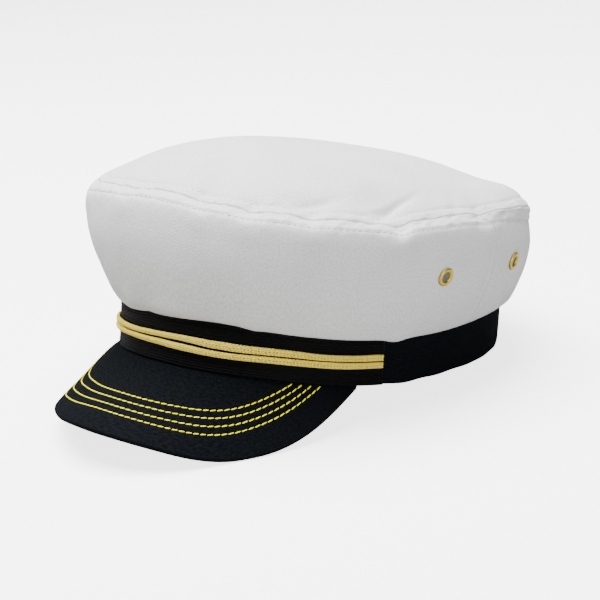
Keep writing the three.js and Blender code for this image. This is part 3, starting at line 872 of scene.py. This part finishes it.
def white_cotton(colours):
    # Cotton twill, woven and washed: a matt white that greys a little where its yarn is uneven. The
    # grain is drawn at 0.9 mm, coarser than the yarn, so that it shows.
    tree = start_material("white_cotton_twill_woven")
    cloud = noise(tree, millimetres(tree), 0.05, 3.0)
    yarn = noise(tree, millimetres(tree), 1.1, 3.0, 0.65)
    base = mix(tree, cloud.outputs["Fac"], colours.cotton[:], colours.cotton_shade[:])
    grain = ramp(tree, yarn.outputs["Fac"], ((0.36, colours.cotton_shade[:]), (0.64, colours.cotton[:])))
    surface(tree, blend(tree, 0.6, base, grain), twill(tree, TWILL_PITCH, 0.1, 0.35), Roughness=0.92,
            Sheen_Weight=0.15, Sheen_Roughness=0.5, IOR=1.45, Specular_IOR_Level=0.25)


def navy_twill(colours):
    # Wool-mix twill, woven and pressed: nearly black navy with paler fibres and a faint diagonal, its
    # ribs drawn at 1.3 mm, coarser than the real ones, so that they show.
    tree = start_material("navy_twill_woven")
    fibre = noise(tree, millimetres(tree), 1.0, 5.0, 0.75)
    ribs = bands(tree, millimetres(tree, TWILL_TURN), TWILL_PITCH, "X", 4.0)
    specks = ramp(tree, fibre.outputs["Fac"], ((0.38, colours.navy_shade[:]), (0.68, colours.navy_light[:])))
    diagonal = mix(tree, ribs.outputs["Fac"], colours.navy_shade[:], colours.navy[:])
    surface(tree, blend(tree, 0.25, specks, diagonal), twill(tree, TWILL_PITCH, 0.12, 0.5), Roughness=0.9,
            Sheen_Weight=0.003, Sheen_Roughness=0.45, IOR=1.45, Specular_IOR_Level=0.03)


def black_ribbon(colours):
    # Grosgrain ribbon, woven in ribs along its length: black with a dull gleam on each rib. Its weft is
    # drawn at 0.7 mm, coarser than the real one.
    tree = start_material("black_grosgrain_woven")
    grain = noise(tree, millimetres(tree, 0, (0.5, 2, 1)), 1.2, 4.0)
    colour = mix(tree, grain.outputs["Fac"], colours.ribbon[:], colours.ribbon_light[:])
    weft = bands(tree, millimetres(tree), 0.7, "X", 0.5)
    bump = raised(tree, weft.outputs["Fac"], 0.4, 0.05)
    surface(tree, colour, bump, Roughness=0.62, Sheen_Weight=0.003, Sheen_Roughness=0.4, IOR=1.45,
            Specular_IOR_Level=0.08)


def gold_braid(colours):
    # Metallised yarn, braided flat: gold strands with painted highlight on their raised parts and painted
    # shade, brass-brown, in the gaps between, which are drawn at 1 mm, coarser than the real ones, so that
    # they show.
    tree = start_material("gold_yarn_braided")
    strands = bands(tree, millimetres(tree, STRAND_TURN), 1.0, "X", 2.0)
    back = bands(tree, millimetres(tree, -STRAND_TURN), 1.0, "X", 2.0)
    lobes = bands(tree, millimetres(tree), 1.7, "Y")
    pick = add(tree, "ShaderNodeMix",
               {0: lobes.outputs["Fac"], 2: strands.outputs["Fac"], 3: back.outputs["Fac"]},
               data_type="FLOAT")
    uneven = noise(tree, millimetres(tree), 1.3, 4.0, 0.7)
    spread = add(tree, "ShaderNodeMapRange", {"Value": uneven.outputs["Fac"]}, From_Min=0.3, From_Max=0.7)
    half = add(tree, "ShaderNodeMix", {2: pick.outputs[0], 3: spread.outputs[0]}, data_type="FLOAT")
    # Painted shade in the gaps and painted highlight on the raised strands, following the pattern of the
    # bump.
    colour = ramp(tree, half.outputs[0],
                  ((0.22, colours.gold_painted_shade[:]), (0.4, colours.gold[:]), (0.6, colours.gold_painted_highlight[:])))
    bump = raised(tree, half.outputs[0], 0.5, 0.2)
    surface(tree, colour, bump, Roughness=0.55, Sheen_Weight=0.1, Sheen_Roughness=0.4,
            Sheen_Tint=colours.gold[:], IOR=1.45)


def spun_thread(name, colour, shade, gloss, glow=0.0):
    # Sewing thread, spun from polyester: matt to softly gleaming, its twist in the shade given. The glow,
    # given to the yellow thread, is painted light of its own colour, and the grey thread is painted shade
    # in the crown's needle holes.
    tree = start_material(name)
    fibre = noise(tree, object_millimetres(tree), 1.5, 3.0)
    tone = mix(tree, fibre.outputs["Fac"], shade, colour)
    bump = raised(tree, fibre.outputs["Fac"], 0.3, 0.1)
    surface(tree, tone, bump, Roughness=0.55, IOR=1.5, Emission_Color=colour, Emission_Strength=glow,
            Specular_IOR_Level=gloss)


def gauze_painted_shade(colours):
    # Cotton gauze, woven open, seen through the eyelets: its grey and its darker meshes are painted shade
    # of the eyelets' hollows.
    tree = start_material("gauze_in_painted_shade")
    mesh = add(tree, "ShaderNodeTexVoronoi", {"Vector": object_millimetres(tree)}, Scale=1.6)
    tone = ramp(tree, mesh.outputs["Distance"], ((0.1, colours.gauze_shade[:]), (0.5, colours.gauze[:])))
    surface(tree, tone, Roughness=0.95, IOR=1.45, Specular_IOR_Level=0.1)


def pressed_brass(colours):
    # Brass, pressed and lacquered: yellow metal with soft gloss and faint handling marks.
    tree = start_material("brass_pressed_lacquered")
    wear = noise(tree, object_millimetres(tree), 0.6, 5.0)
    colour = mix(tree, wear.outputs["Fac"], colours.brass[:], colours.brass_shade[:])
    rough = add(tree, "ShaderNodeMapRange", {"Value": wear.outputs["Fac"]}, To_Min=0.24, To_Max=0.42)
    bump = raised(tree, wear.outputs["Fac"], 0.15, 0.1)
    shader = add(tree, "ShaderNodeBsdfPrincipled",
                 {"Base_Color": colour, "Roughness": rough.outputs[0], "Normal": bump.outputs["Normal"]},
                 Metallic=1.0)
    finish_material(tree, shader)


def studio_acrylic():
    # Opal acrylic table, cast and lit from below: the camera sees it glow pale, and it throws only a
    # little light back on the hat.
    tree = start_material("opal_acrylic_backlit")
    seen = add(tree, "ShaderNodeLightPath").outputs["Is Camera Ray"]
    colour = mix(tree, seen, (FLOOR_BOUNCE,) * 3 + (1,), (FLOOR_WHITE,) * 3 + (1,))
    shader = add(tree, "ShaderNodeBsdfPrincipled",
                 {"Base_Color": colour, "Emission_Strength": times(tree, seen, FLOOR_GLOW)},
                 Roughness=0.95, Emission_Color=(1, 1, 1, 1), Specular_IOR_Level=0.0)
    finish_material(tree, shader)


def colour_property(name, description, code):
    return bpy.props.FloatVectorProperty(
        name=name, description=description, default=linear(code), size=4, min=0, max=1, subtype="COLOR")


class HatColours(bpy.types.PropertyGroup):
    """Colours of the hat's cloth, ribbon, braid, thread and brass."""

    cotton: colour_property("Cotton", "White of the crown", "#f3f3f2")
    cotton_shade: colour_property("Cotton shade", "Greyer yarn of the crown", "#cacaca")
    cotton_thread: colour_property("Cotton thread", "Topstitching of the crown", "#dcdcdc")
    # The needle hole colour is painted shade, on grey beads between the crown's stitches.
    needle_hole: colour_property("Needle hole", "Shade where the crown's thread enters the cloth", "#5c5c5c")
    navy: colour_property("Navy", "Band and peak", "#090b0d")
    navy_shade: colour_property("Navy shade", "Hollows of the navy twill", "#030405")
    navy_light: colour_property("Navy light", "Raised fibres of the navy twill", "#181b20")
    ribbon: colour_property("Ribbon", "Front ribbon", "#040404")
    ribbon_light: colour_property("Ribbon light", "Crests of the ribbon's ribs", "#090909")
    # The gold light is painted highlight on the raised strands, and the gold shade is painted shade in the
    # gaps.
    gold: colour_property("Gold", "Braids", "#f3d83c")
    gold_painted_highlight: colour_property("Gold light", "Raised strands of the braids", "#ffec6c")
    gold_painted_shade: colour_property("Gold shade", "Gaps between the braids' strands", "#6c5212")
    yellow: colour_property("Yellow", "Stitching of the peak", "#fffa00")
    yellow_shade: colour_property("Yellow shade", "Twist of the peak's thread", "#fff000")
    # Gauze and gauze shade are painted shade in the eyelets' hollows.
    gauze: colour_property("Gauze", "Gauze behind the eyelets", "#767470")
    gauze_shade: colour_property("Gauze shade", "Meshes of the gauze", "#2e2d2a")
    brass: colour_property("Brass", "Vent eyelets", "#e6cf60")
    brass_shade: colour_property("Brass shade", "Worn brass", "#c0a23c")


def size_property(name, description, value):
    return bpy.props.FloatProperty(
        name=name, description=description, default=value * MM, min=0, unit="LENGTH", subtype="DISTANCE")


class HatSizes(bpy.types.PropertyGroup):
    """Sizes of the hat's sewing and trim."""

    crown_stitch: size_property("Crown stitch", "Length of the crown's topstitches", 2.6)
    crown_thread: size_property("Crown thread", "Width of the crown's thread", 0.45)
    peak_stitch: size_property("Peak stitch", "Length of the peak's stitches", 3.7)
    peak_pitch: size_property("Peak stitch pitch", "Distance between the peak's stitches", 3.3)
    peak_thread: size_property("Peak thread", "Width of the peak's thread", 0.62)
    rib: size_property("Ribbon rib", "Distance between the ribbon's ribs", 1.25)
    strand: size_property("Braid strand", "Distance between the braids' twists", 1.1)


# Pieces


class HAT_OT_crown_top(bpy.types.Operator):
    """Makes the domed top panel of the crown"""

    bl_idname = "hat.crown_top"
    bl_label = "Crown top"

    def execute(self, context):
        columns, rows = 400, 84

        def place(across, up):
            reach = crowd(up)
            course = SIDE_COURSE + SEAM_HOLD + (TOP_COURSE - SEAM_HOLD) * (1 - reach)
            angle = math.tau * across
            middle = up < 1e-9
            angle = np.where(middle, 0, angle)
            course = np.where(middle, SIDE_COURSE + TOP_COURSE, course)
            return to_table(crown_point(angle, course))

        def uv(across, up):
            reach = TOP_LAYOUT * crowd(up)
            return np.stack([reach * np.sin(math.tau * across), -reach * np.cos(math.tau * across)], -1)

        bm = sheet_mesh(columns, rows, place, uv, close=True)
        bmesh.ops.reverse_faces(bm, faces=bm.faces[:])
        piece = new_object("crown_top_cloth", bm, "white_cotton_twill_woven")
        thicken(piece, CLOTH_WALL)
        dress(piece, "white_cotton", "crown_top")
        return {"FINISHED"}


def side_panel(name, node, sign, columns):
    rows = 84

    def place(across, up):
        climb = crowd(np.clip((up - ROLL_ROWS) / (1 - ROLL_ROWS), 0, 1))
        above = ROLL_COURSE + climb * (SIDE_COURSE - SEAM_HOLD - ROLL_COURSE)
        course = np.where(up < ROLL_ROWS, up / ROLL_ROWS * ROLL_COURSE, above)
        seam = side_seam(course / SIDE_COURSE) - sign * PANEL_GAP / BAND_WIDTH
        start, end = (-seam, seam) if sign > 0 else (seam, math.tau - seam)
        return to_table(crown_point(start + (end - start) * across, course))

    bm = sheet_mesh(columns, rows, place, laid_flat(node, 0 if sign > 0 else BACK_LAYOUT_START))
    for _, degrees, level in EYELETS:
        centre = Vector(to_table(eyelet_seat(degrees, level)[0])[0])
        bore = [f for f in bm.faces if (f.calc_center_median() - centre).length < EYELET_CUT * MM]
        bmesh.ops.delete(bm, geom=bore, context="FACES")
    piece = new_object(name, bm, "white_cotton_twill_woven")
    thicken(piece, CLOTH_WALL)
    return dress(piece, "white_cotton", node)


def eyelet_seat(degrees, level):
    """Where an eyelet meets the side's face, and the way out."""
    angle = np.array([math.radians(degrees)])
    ring = section_at(angle)
    height = ring["band_top"] * (1 - level) + ring["shoulder_height"] * level
    low, high = np.array([2.0]), np.array([SHOULDER_COURSE])
    for _ in range(24):
        middle = (low + high) / 2
        below = crown_sheet(angle, middle)[:, 2] < height
        low, high = np.where(below, middle, low), np.where(below, high, middle)
    return crown_point(angle, low), face_normal(crown_sheet, angle, low, 0.01, 0.1)


class HAT_OT_crown_sides(bpy.types.Operator):
    """Makes the two side panels of the crown, with their felled seams and the holes of the eyelets"""

    bl_idname = "hat.crown_sides"
    bl_label = "Crown sides"

    def execute(self, context):
        side_panel("crown_side_front_cloth", "crown_side_front", 1, 380)
        side_panel("crown_side_back_cloth", "crown_side_back", -1, 300)
        return {"FINISHED"}


class HAT_OT_crown_stitching(bpy.types.Operator):
    """Sews the two rows of topstitching along the top seam, and the felled side seams"""

    bl_idname = "hat.crown_stitching"
    bl_label = "Crown stitching"

    def execute(self, context):
        sizes = context.scene.hat_sizes
        pitch = sizes.crown_stitch * CROWN_PITCH
        round_hat = np.radians(np.arange(0, 361, 1.0))
        reach = section_at(round_hat)["seam"]
        upper = SIDE_COURSE + TOPSTITCH_ABOVE / (reach / TOP_COURSE)
        runs = []
        for course in (upper, np.full_like(round_hat, SHOULDER_COURSE)):
            points = to_table(crown_point(round_hat, course, THREAD_LIFT))
            runs.append((points, turn_to_table(crown_normal(round_hat, course)), pitch))
        climb = np.linspace(*FELL_STITCHED, 60)
        course = climb * SIDE_COURSE
        seam = side_seam(climb)
        for side in (1, -1):
            for away in (-FELL_HALF, FELL_HALF):
                angle = side * (seam + away / section_at(seam)["shoulder"])
                points = to_table(crown_point(angle, course, FELL_THREAD_LIFT))
                runs.append((points, turn_to_table(crown_normal(angle, course)), pitch))
        piece = thread_stitches("crown_topstitching", runs, sizes.crown_stitch, sizes.crown_thread,
                                sizes.crown_thread * CROWN_THREAD_HEIGHT, CROWN_SLANT, "white_thread_spun")
        dress(piece, "white_cotton")
        # Grey beads between the stitches are painted shade where the thread enters the cloth.
        holes = [
            (points[1:] - normals[1:] * HOLE_SINK * MM, normals[1:], pitch) for points, normals, _ in runs
        ]
        length, width, height = (size * MM for size in NEEDLE_HOLE)
        painted_hole_shade = thread_stitches("crown_needle_hole_shade", holes, length, width, height, 0.0,
                                "needle_hole_painted_shade", pitch / 2)
        dress(painted_hole_shade, "white_cotton")
        return {"FINISHED"}


class HAT_OT_band(bpy.types.Operator):
    """Makes the navy head band"""

    bl_idname = "hat.band"
    bl_label = "Head band"

    def execute(self, context):
        columns, rows = 420, 64

        def place(across, up):
            angle = math.tau * across
            around = up * 4
            face = np.clip(around, 0, 2) / 2
            inner = np.clip(around - 2, 0, 2) / 2
            outside = around <= 2
            share = np.where(outside, face, 1 - inner)
            rounded = BAND_CORNER * (np.abs(2 * share - 1) ** CORNER_POWER)
            plain = band_point(angle, share, 0.0)
            slack = cloth_waves("band_face", plain) * np.sin(math.pi * share)
            out = np.where(outside, slack - rounded, rounded - BAND_WALL)
            points = band_point(angle, share, out)
            edge = cloth_waves("band_edge", band_point(angle, 0, 0))
            points[:, 2] -= edge * np.clip(1 - 2 * share, 0, 1)
            return to_table(points)

        bm = sheet_mesh(columns, rows, place, laid_flat("band"), close=True)
        piece = new_object("band_cloth", bm, "navy_twill_woven")
        dress(piece, "navy_twill", "band")
        return {"FINISHED"}


class HAT_OT_ribbon(bpy.types.Operator):
    """Makes the ribbed ribbon over the front of the band, and its edge stitches"""

    bl_idname = "hat.ribbon"
    bl_label = "Band ribbon"

    def execute(self, context):
        sizes = context.scene.hat_sizes
        ribs = round(BAND_HEIGHT * MM / sizes.rib)
        columns, rows = 270, ribs * 6

        def place(across, up):
            degrees = RIBBON_SPREAD * (2 * across - 1)
            angle = np.radians(degrees)
            rib = RIB_HEIGHT * np.sin(math.tau * ribs * up + RIB_SWAY * np.sin(degrees * 0.16))
            slack = cloth_waves("ribbon", band_point(angle, up, 0.0)) * np.sin(math.pi * up)
            climb = FOLD_LEAN * (degrees - FOLD_FROM)
            fold = sum(
                height * hill(up - share - climb, FOLD_BREADTH) * hill(degrees - at, spread)
                for height, share, at, spread in RIBBON_FOLDS
            )
            out = GAP + RIBBON_WALL - RIB_HEIGHT + rib + slack + fold
            end = np.clip((1 - np.abs(2 * across - 1)) * END_RISE, 0, 1)
            share = RIBBON_MARGIN + (1 - 2 * RIBBON_MARGIN) * up
            return to_table(band_point(angle, share, out * (RIBBON_END + (1 - RIBBON_END) * end)))

        bm = sheet_mesh(columns, rows, place, laid_flat("band_ribbon"))
        piece = new_object("band_ribbon_cloth", bm, "black_grosgrain_woven")
        thicken(piece, RIBBON_CLOTH)
        dress(piece, "black_ribbon", "band_ribbon")
        runs = []
        degrees = np.linspace(-RIBBON_SPREAD + 1, RIBBON_SPREAD - 1, 200)
        angle = np.radians(degrees)
        for up in RIBBON_ROWS:
            lift = GAP + RIBBON_WALL + RIBBON_THREAD_LIFT
            points = to_table(band_point(angle, up + 0 * angle, lift))
            normals = turn_to_table(on_ring(1 + 0 * angle, angle, 0.0))
            runs.append((points, normals, RIBBON_PITCH * MM))
        length, width, height = (size * MM for size in RIBBON_STITCH)
        stitches = thread_stitches("ribbon_stitching", runs, length, width, height, 0.0, "black_thread_spun")
        dress(stitches, "black_ribbon")
        return {"FINISHED"}


class HAT_OT_braids(bpy.types.Operator):
    """Makes the two flat gold braids, each of four twisted cords side by side"""

    bl_idname = "hat.braids"
    bl_label = "Gold braids"

    def execute(self, context):
        strand = context.scene.hat_sizes.strand / MM
        for node, low, high in BRAIDS:
            columns, rows = 860, 36

            def place(across, up):
                degrees = BRAID_SPREAD * (2 * across - 1)
                angle = np.radians(degrees)
                along = (angle - angle.min()) * BRAID_REACH
                front = np.clip(up / BRAID_FACE, 0, 1)
                back = np.clip((up - BRAID_FACE) / (1 - BRAID_FACE), 0, 1)
                outside = up <= BRAID_FACE
                share = np.where(outside, front, 1 - back)
                cord = share * BRAID_LOBES
                lobe = np.abs(np.sin(math.pi * cord))
                hand = np.where(np.floor(cord) % 2 == 0, 1, -1)
                inside = cord - np.floor(cord) - 0.5
                twist = np.cos(math.tau * (along / strand + hand * inside * TWIST_SLANT))
                swell = np.sqrt(np.maximum(1 - (2 * share - 1) ** 4, 0))
                parting = BRAID_PARTING * hill(share - 0.5, 0.05)
                rise = swell * (BRAID_BODY + (1 - BRAID_BODY) * lobe ** 0.6) - parting
                rise = rise + TWIST_HEIGHT * twist * lobe
                base = 2 * GAP + RIBBON_WALL
                out = base + np.where(outside, BRAID_WALL * np.maximum(rise, 0.05), 0)
                edge_low = read_table(BRAID_PATH, "angle", low, degrees)
                edge_high = read_table(BRAID_PATH, "angle", high, degrees)
                wander = cloth_waves(node, band_point(angle, 0, 0))
                height = edge_low + (edge_high - edge_low) * share + wander
                return to_table(band_point(angle, height, out))

            bm = sheet_mesh(columns, rows, place, laid_flat(node), close=True, ends=True)
            piece = new_object(node + "_gold", bm, "gold_yarn_braided")
            dress(piece, "gold_braid", node)
        return {"FINISHED"}


class HAT_OT_peak(bpy.types.Operator):
    """Makes the cloth-covered peak and its rows of yellow stitching"""

    bl_idname = "hat.peak"
    bl_label = "Peak"

    def execute(self, context):
        sizes = context.scene.hat_sizes
        columns, rows = 300, 150
        half = PEAK_WALL / 2

        def quilt(across, away):
            """Depth of the grooves that the rows of stitching press into the cloth."""
            from_outermost = read_table(ROW_PATH, "across", "reach", across) - away
            return sum(ROW_GROOVE * hill(from_outermost - row, ROW_GROOVE_WIDTH) for row in PEAK_ROWS)

        def place(across, up):
            spread = math.pi * PEAK_CROWDING
            over = np.sin((across - 0.5) * spread) / math.sin(spread / 2)
            edge = half * PEAK_ROUNDING
            flat = peak_length(over) - edge
            top = np.clip(up / PEAK_FACE, 0, 1)
            bottom = np.clip((up - 1 + PEAK_FACE) / PEAK_FACE, 0, 1)
            turn = np.clip((up - PEAK_FACE) / (1 - 2 * PEAK_FACE), 0, 1) * math.pi
            away = np.where(up < 0.5, flat * top, flat * (1 - bottom)) + edge * np.sin(turn)
            normal = peak_normal(over, away)
            ripple = cloth_waves("peak", peak_sheet(over, away))
            puff = quilt(over, away)
            lift = -half + half * np.cos(turn)
            lift = lift + np.where(up < 0.5, -puff, puff * UNDER_GROOVE) * (np.sin(turn) < 0.05) + ripple
            points = peak_sheet(over, away) + normal * lift[:, None]
            points[:, 2] += PEAK_TUCK * np.exp(-away)
            return to_table(points)

        bm = sheet_mesh(columns, rows, place, laid_flat("peak"), close=True, ends=True)
        bmesh.ops.reverse_faces(bm, faces=bm.faces[:])
        piece = new_object("peak_cloth", bm, "navy_twill_woven")
        dress(piece, "navy_twill", "peak")
        runs = []
        across = np.linspace(-0.99, 0.99, 500)
        for row in PEAK_ROWS:
            away = read_table(ROW_PATH, "across", "reach", across) - row
            kept = away > 0.8
            over, out = across[kept], away[kept]
            normal = peak_normal(over, out)
            ripple = cloth_waves("peak", peak_sheet(over, out))
            for lift in (ripple - PEAK_THREAD_SINK, ripple - PEAK_WALL - PEAK_THREAD_BELOW):
                points = to_table(peak_sheet(over, out) + normal * lift[:, None])
                runs.append((points, turn_to_table(normal), sizes.peak_pitch))
        stitches = thread_stitches("peak_stitching", runs, sizes.peak_stitch, sizes.peak_thread,
                                   sizes.peak_thread * PEAK_THREAD_HEIGHT, PEAK_SLANT,
                                   "yellow_thread_spun")
        dress(stitches, "gold_braid")
        return {"FINISHED"}


class HAT_OT_eyelets(bpy.types.Operator):
    """Presses the four brass eyelets, each with gauze in its bore"""

    bl_idname = "hat.eyelets"
    bl_label = "Eyelets"

    def execute(self, context):
        back = -(CLOTH_WALL + 3 * GAP)
        flange = EYELET_FLANGE - EYELET_BARREL
        outline = [
            (EYELET_BORE, back - EYELET_LIP),
            (EYELET_CLINCH, back - EYELET_LIP),
            (EYELET_CLINCH, back),
            (EYELET_BARREL, back),
            (EYELET_BARREL, 0),
            (EYELET_FLANGE - 0.15, 0),
        ]
        for k in range(EYELET_CURL + 1):
            turn = math.pi * k / EYELET_CURL
            reach = EYELET_BORE + (EYELET_FLANGE - EYELET_BORE) * (1 + math.cos(turn)) / 2
            outline.append((reach, EYELET_CROWN * math.sin(turn) ** 0.7 * (1 - 0.25 * k / EYELET_CURL)))
        outline.append((EYELET_BORE, -0.3 * flange))
        for node, degrees, level in EYELETS:
            bm = bmesh.new()
            loop = bmesh.ops.create_circle(bm, segments=len(outline), radius=1)["verts"]
            for vert, (reach, height) in zip(loop, outline):
                vert.co = (reach * MM, 0, height * MM)
            bmesh.ops.spin(bm, geom=bm.verts[:] + bm.edges[:], cent=(0, 0, 0), axis=(0, 0, 1), angle=math.tau,
                           steps=48, use_merge=True)
            bmesh.ops.remove_doubles(bm, verts=bm.verts[:], dist=1e-7)
            bmesh.ops.recalc_face_normals(bm, faces=bm.faces[:])
            seat, out = eyelet_seat(degrees, level)
            place = Vector(to_table(seat + out * GAP)[0])
            turn = Vector(turn_to_table(out)[0]).to_track_quat("Z", "Y").to_matrix().to_4x4()
            bmesh.ops.transform(bm, matrix=Matrix.Translation(place) @ turn, verts=bm.verts[:])
            piece = new_object(node + "_brass", bm, "brass_pressed_lacquered")
            dress(piece, "brass", node)
            # Behind the bore, a disc of gauze whose grey is painted shade.
            bm = bmesh.new()
            bmesh.ops.create_circle(bm, cap_ends=True, segments=32, radius=EYELET_BARREL * MM)
            sunk = Matrix.Translation((0, 0, -GAUZE_DEPTH * MM))
            bmesh.ops.transform(bm, matrix=Matrix.Translation(place) @ turn @ sunk, verts=bm.verts[:])
            gauze = new_object(node + "_gauze", bm, "gauze_in_painted_shade", smooth=False)
            dress(gauze, "brass")
        return {"FINISHED"}


class HAT_OT_materials(bpy.types.Operator):
    """Makes the hat's materials"""

    bl_idname = "hat.materials"
    bl_label = "Materials"

    def execute(self, context):
        colours = context.scene.hat_colours
        for make in (white_cotton, navy_twill, black_ribbon, gold_braid, gauze_painted_shade, pressed_brass):
            make(colours)
        spun_thread("white_thread_spun", colours.cotton[:], colours.cotton_thread[:], 0.3)
        # The yellow thread is given a faint glow of painted light, to brighten it.
        spun_thread("yellow_thread_spun", colours.yellow[:], colours.yellow_shade[:], 0.3, glow=0.2)
        # Grey thread for the needle holes: painted shade.
        spun_thread("needle_hole_painted_shade", colours.needle_hole[:], colours.needle_hole[:], 0.0)
        spun_thread("black_thread_spun", colours.ribbon[:], colours.ribbon[:], 0.05)
        return {"FINISHED"}


class HAT_OT_stage(bpy.types.Operator):
    """Sets up the pale floor, the soft lights and the camera"""

    bl_idname = "hat.stage"
    bl_label = "Stage"

    def execute(self, context):
        self.floor()
        self.lights(context)
        self.camera(context)
        return {"FINISHED"}

    def floor(self):
        bm = bmesh.new()
        bmesh.ops.create_grid(bm, x_segments=4, y_segments=4, size=8.0)
        bmesh.ops.translate(bm, vec=(0, 0, -FLOOR_DROP), verts=bm.verts[:])
        studio_acrylic()
        new_object("studio_floor", bm, "opal_acrylic_backlit", smooth=False)

    def lights(self, context):
        world = bpy.data.worlds.new("studio")
        world.use_nodes = True
        world.node_tree.nodes["Background"].inputs["Color"].default_value = (1, 1, 1, 1)
        world.node_tree.nodes["Background"].inputs["Strength"].default_value = WORLD_LIGHT
        context.scene.world = world
        for name, place, size, power in SOFTBOXES:
            light = bpy.data.lights.new(name, "AREA")
            light.size = size
            light.energy = power
            lamp = bpy.data.objects.new(name, light)
            lamp.location = place
            aim = Vector((0, 0, 0.06)) - lamp.location
            lamp.rotation_euler = aim.to_track_quat("-Z", "Y").to_euler()
            context.scene.collection.objects.link(lamp)

    def camera(self, context):
        right = Vector((math.cos(PHOTO_AZIMUTH), math.sin(PHOTO_AZIMUTH), 0))
        level = Vector((-math.sin(PHOTO_AZIMUTH), math.cos(PHOTO_AZIMUTH), 0))
        away = level * math.cos(PHOTO_ELEVATION) - Vector((0, 0, math.sin(PHOTO_ELEVATION)))
        up = right.cross(away)
        shift_x = (PHOTO_CENTRE[0] - PHOTO_SIZE / 2) * PHOTO_MM_PER_PIXEL
        shift_y = (PHOTO_SIZE / 2 - PHOTO_CENTRE[1]) * PHOTO_MM_PER_PIXEL
        eye = Vector((0, 0, PHOTO_PIVOT)) - away * PHOTO_DISTANCE - right * shift_x - up * shift_y
        # The hat's own frame, and from there to the table.
        back = Matrix.Rotation(PHOTO_TILT - REST_TILT, 3, "X")
        eye = (back @ eye + Vector(REST_PLACE)) * MM
        basis = Matrix((back @ right, back @ up, back @ -away)).transposed().to_4x4()
        lens = bpy.data.cameras.new("photo_camera")
        lens.sensor_width = SENSOR
        lens.lens = PHOTO_DISTANCE / PHOTO_MM_PER_PIXEL / PHOTO_SIZE * SENSOR
        camera = bpy.data.objects.new("photo_camera", lens)
        camera.matrix_world = Matrix.Translation(eye) @ basis
        context.scene.collection.objects.link(camera)
        context.scene.camera = camera


class HAT_PT_sidebar(bpy.types.Panel):
    bl_idname = "HAT_PT_sidebar"
    bl_label = "Captain hat"
    bl_space_type = "VIEW_3D"
    bl_region_type = "UI"
    bl_category = "Hat"

    def draw(self, context):
        for group in (context.scene.hat_sizes, context.scene.hat_colours):
            box = self.layout.box()
            for name in group.__annotations__:
                box.prop(group, name)
        for operator in OPERATORS:
            self.layout.operator(operator.bl_idname)


OPERATORS = (
    HAT_OT_materials,
    HAT_OT_crown_top,
    HAT_OT_crown_sides,
    HAT_OT_crown_stitching,
    HAT_OT_band,
    HAT_OT_ribbon,
    HAT_OT_braids,
    HAT_OT_peak,
    HAT_OT_eyelets,
    HAT_OT_stage,
)
CLASSES = (HatColours, HatSizes, *OPERATORS, HAT_PT_sidebar)


def register():
    for cls in CLASSES:
        bpy.utils.register_class(cls)
    bpy.types.Scene.hat_colours = bpy.props.PointerProperty(type=HatColours)
    bpy.types.Scene.hat_sizes = bpy.props.PointerProperty(type=HatSizes)


def unregister():
    del bpy.types.Scene.hat_sizes
    del bpy.types.Scene.hat_colours
    for cls in reversed(CLASSES):
        bpy.utils.unregister_class(cls)


def main():
    register()
    bpy.ops.hat.materials()
    bpy.ops.hat.crown_top()
    bpy.ops.hat.crown_sides()
    bpy.ops.hat.crown_stitching()
    bpy.ops.hat.band()
    bpy.ops.hat.ribbon()
    bpy.ops.hat.braids()
    bpy.ops.hat.peak()
    bpy.ops.hat.eyelets()
    bpy.ops.hat.stage()


if __name__ == "__main__":
    main()
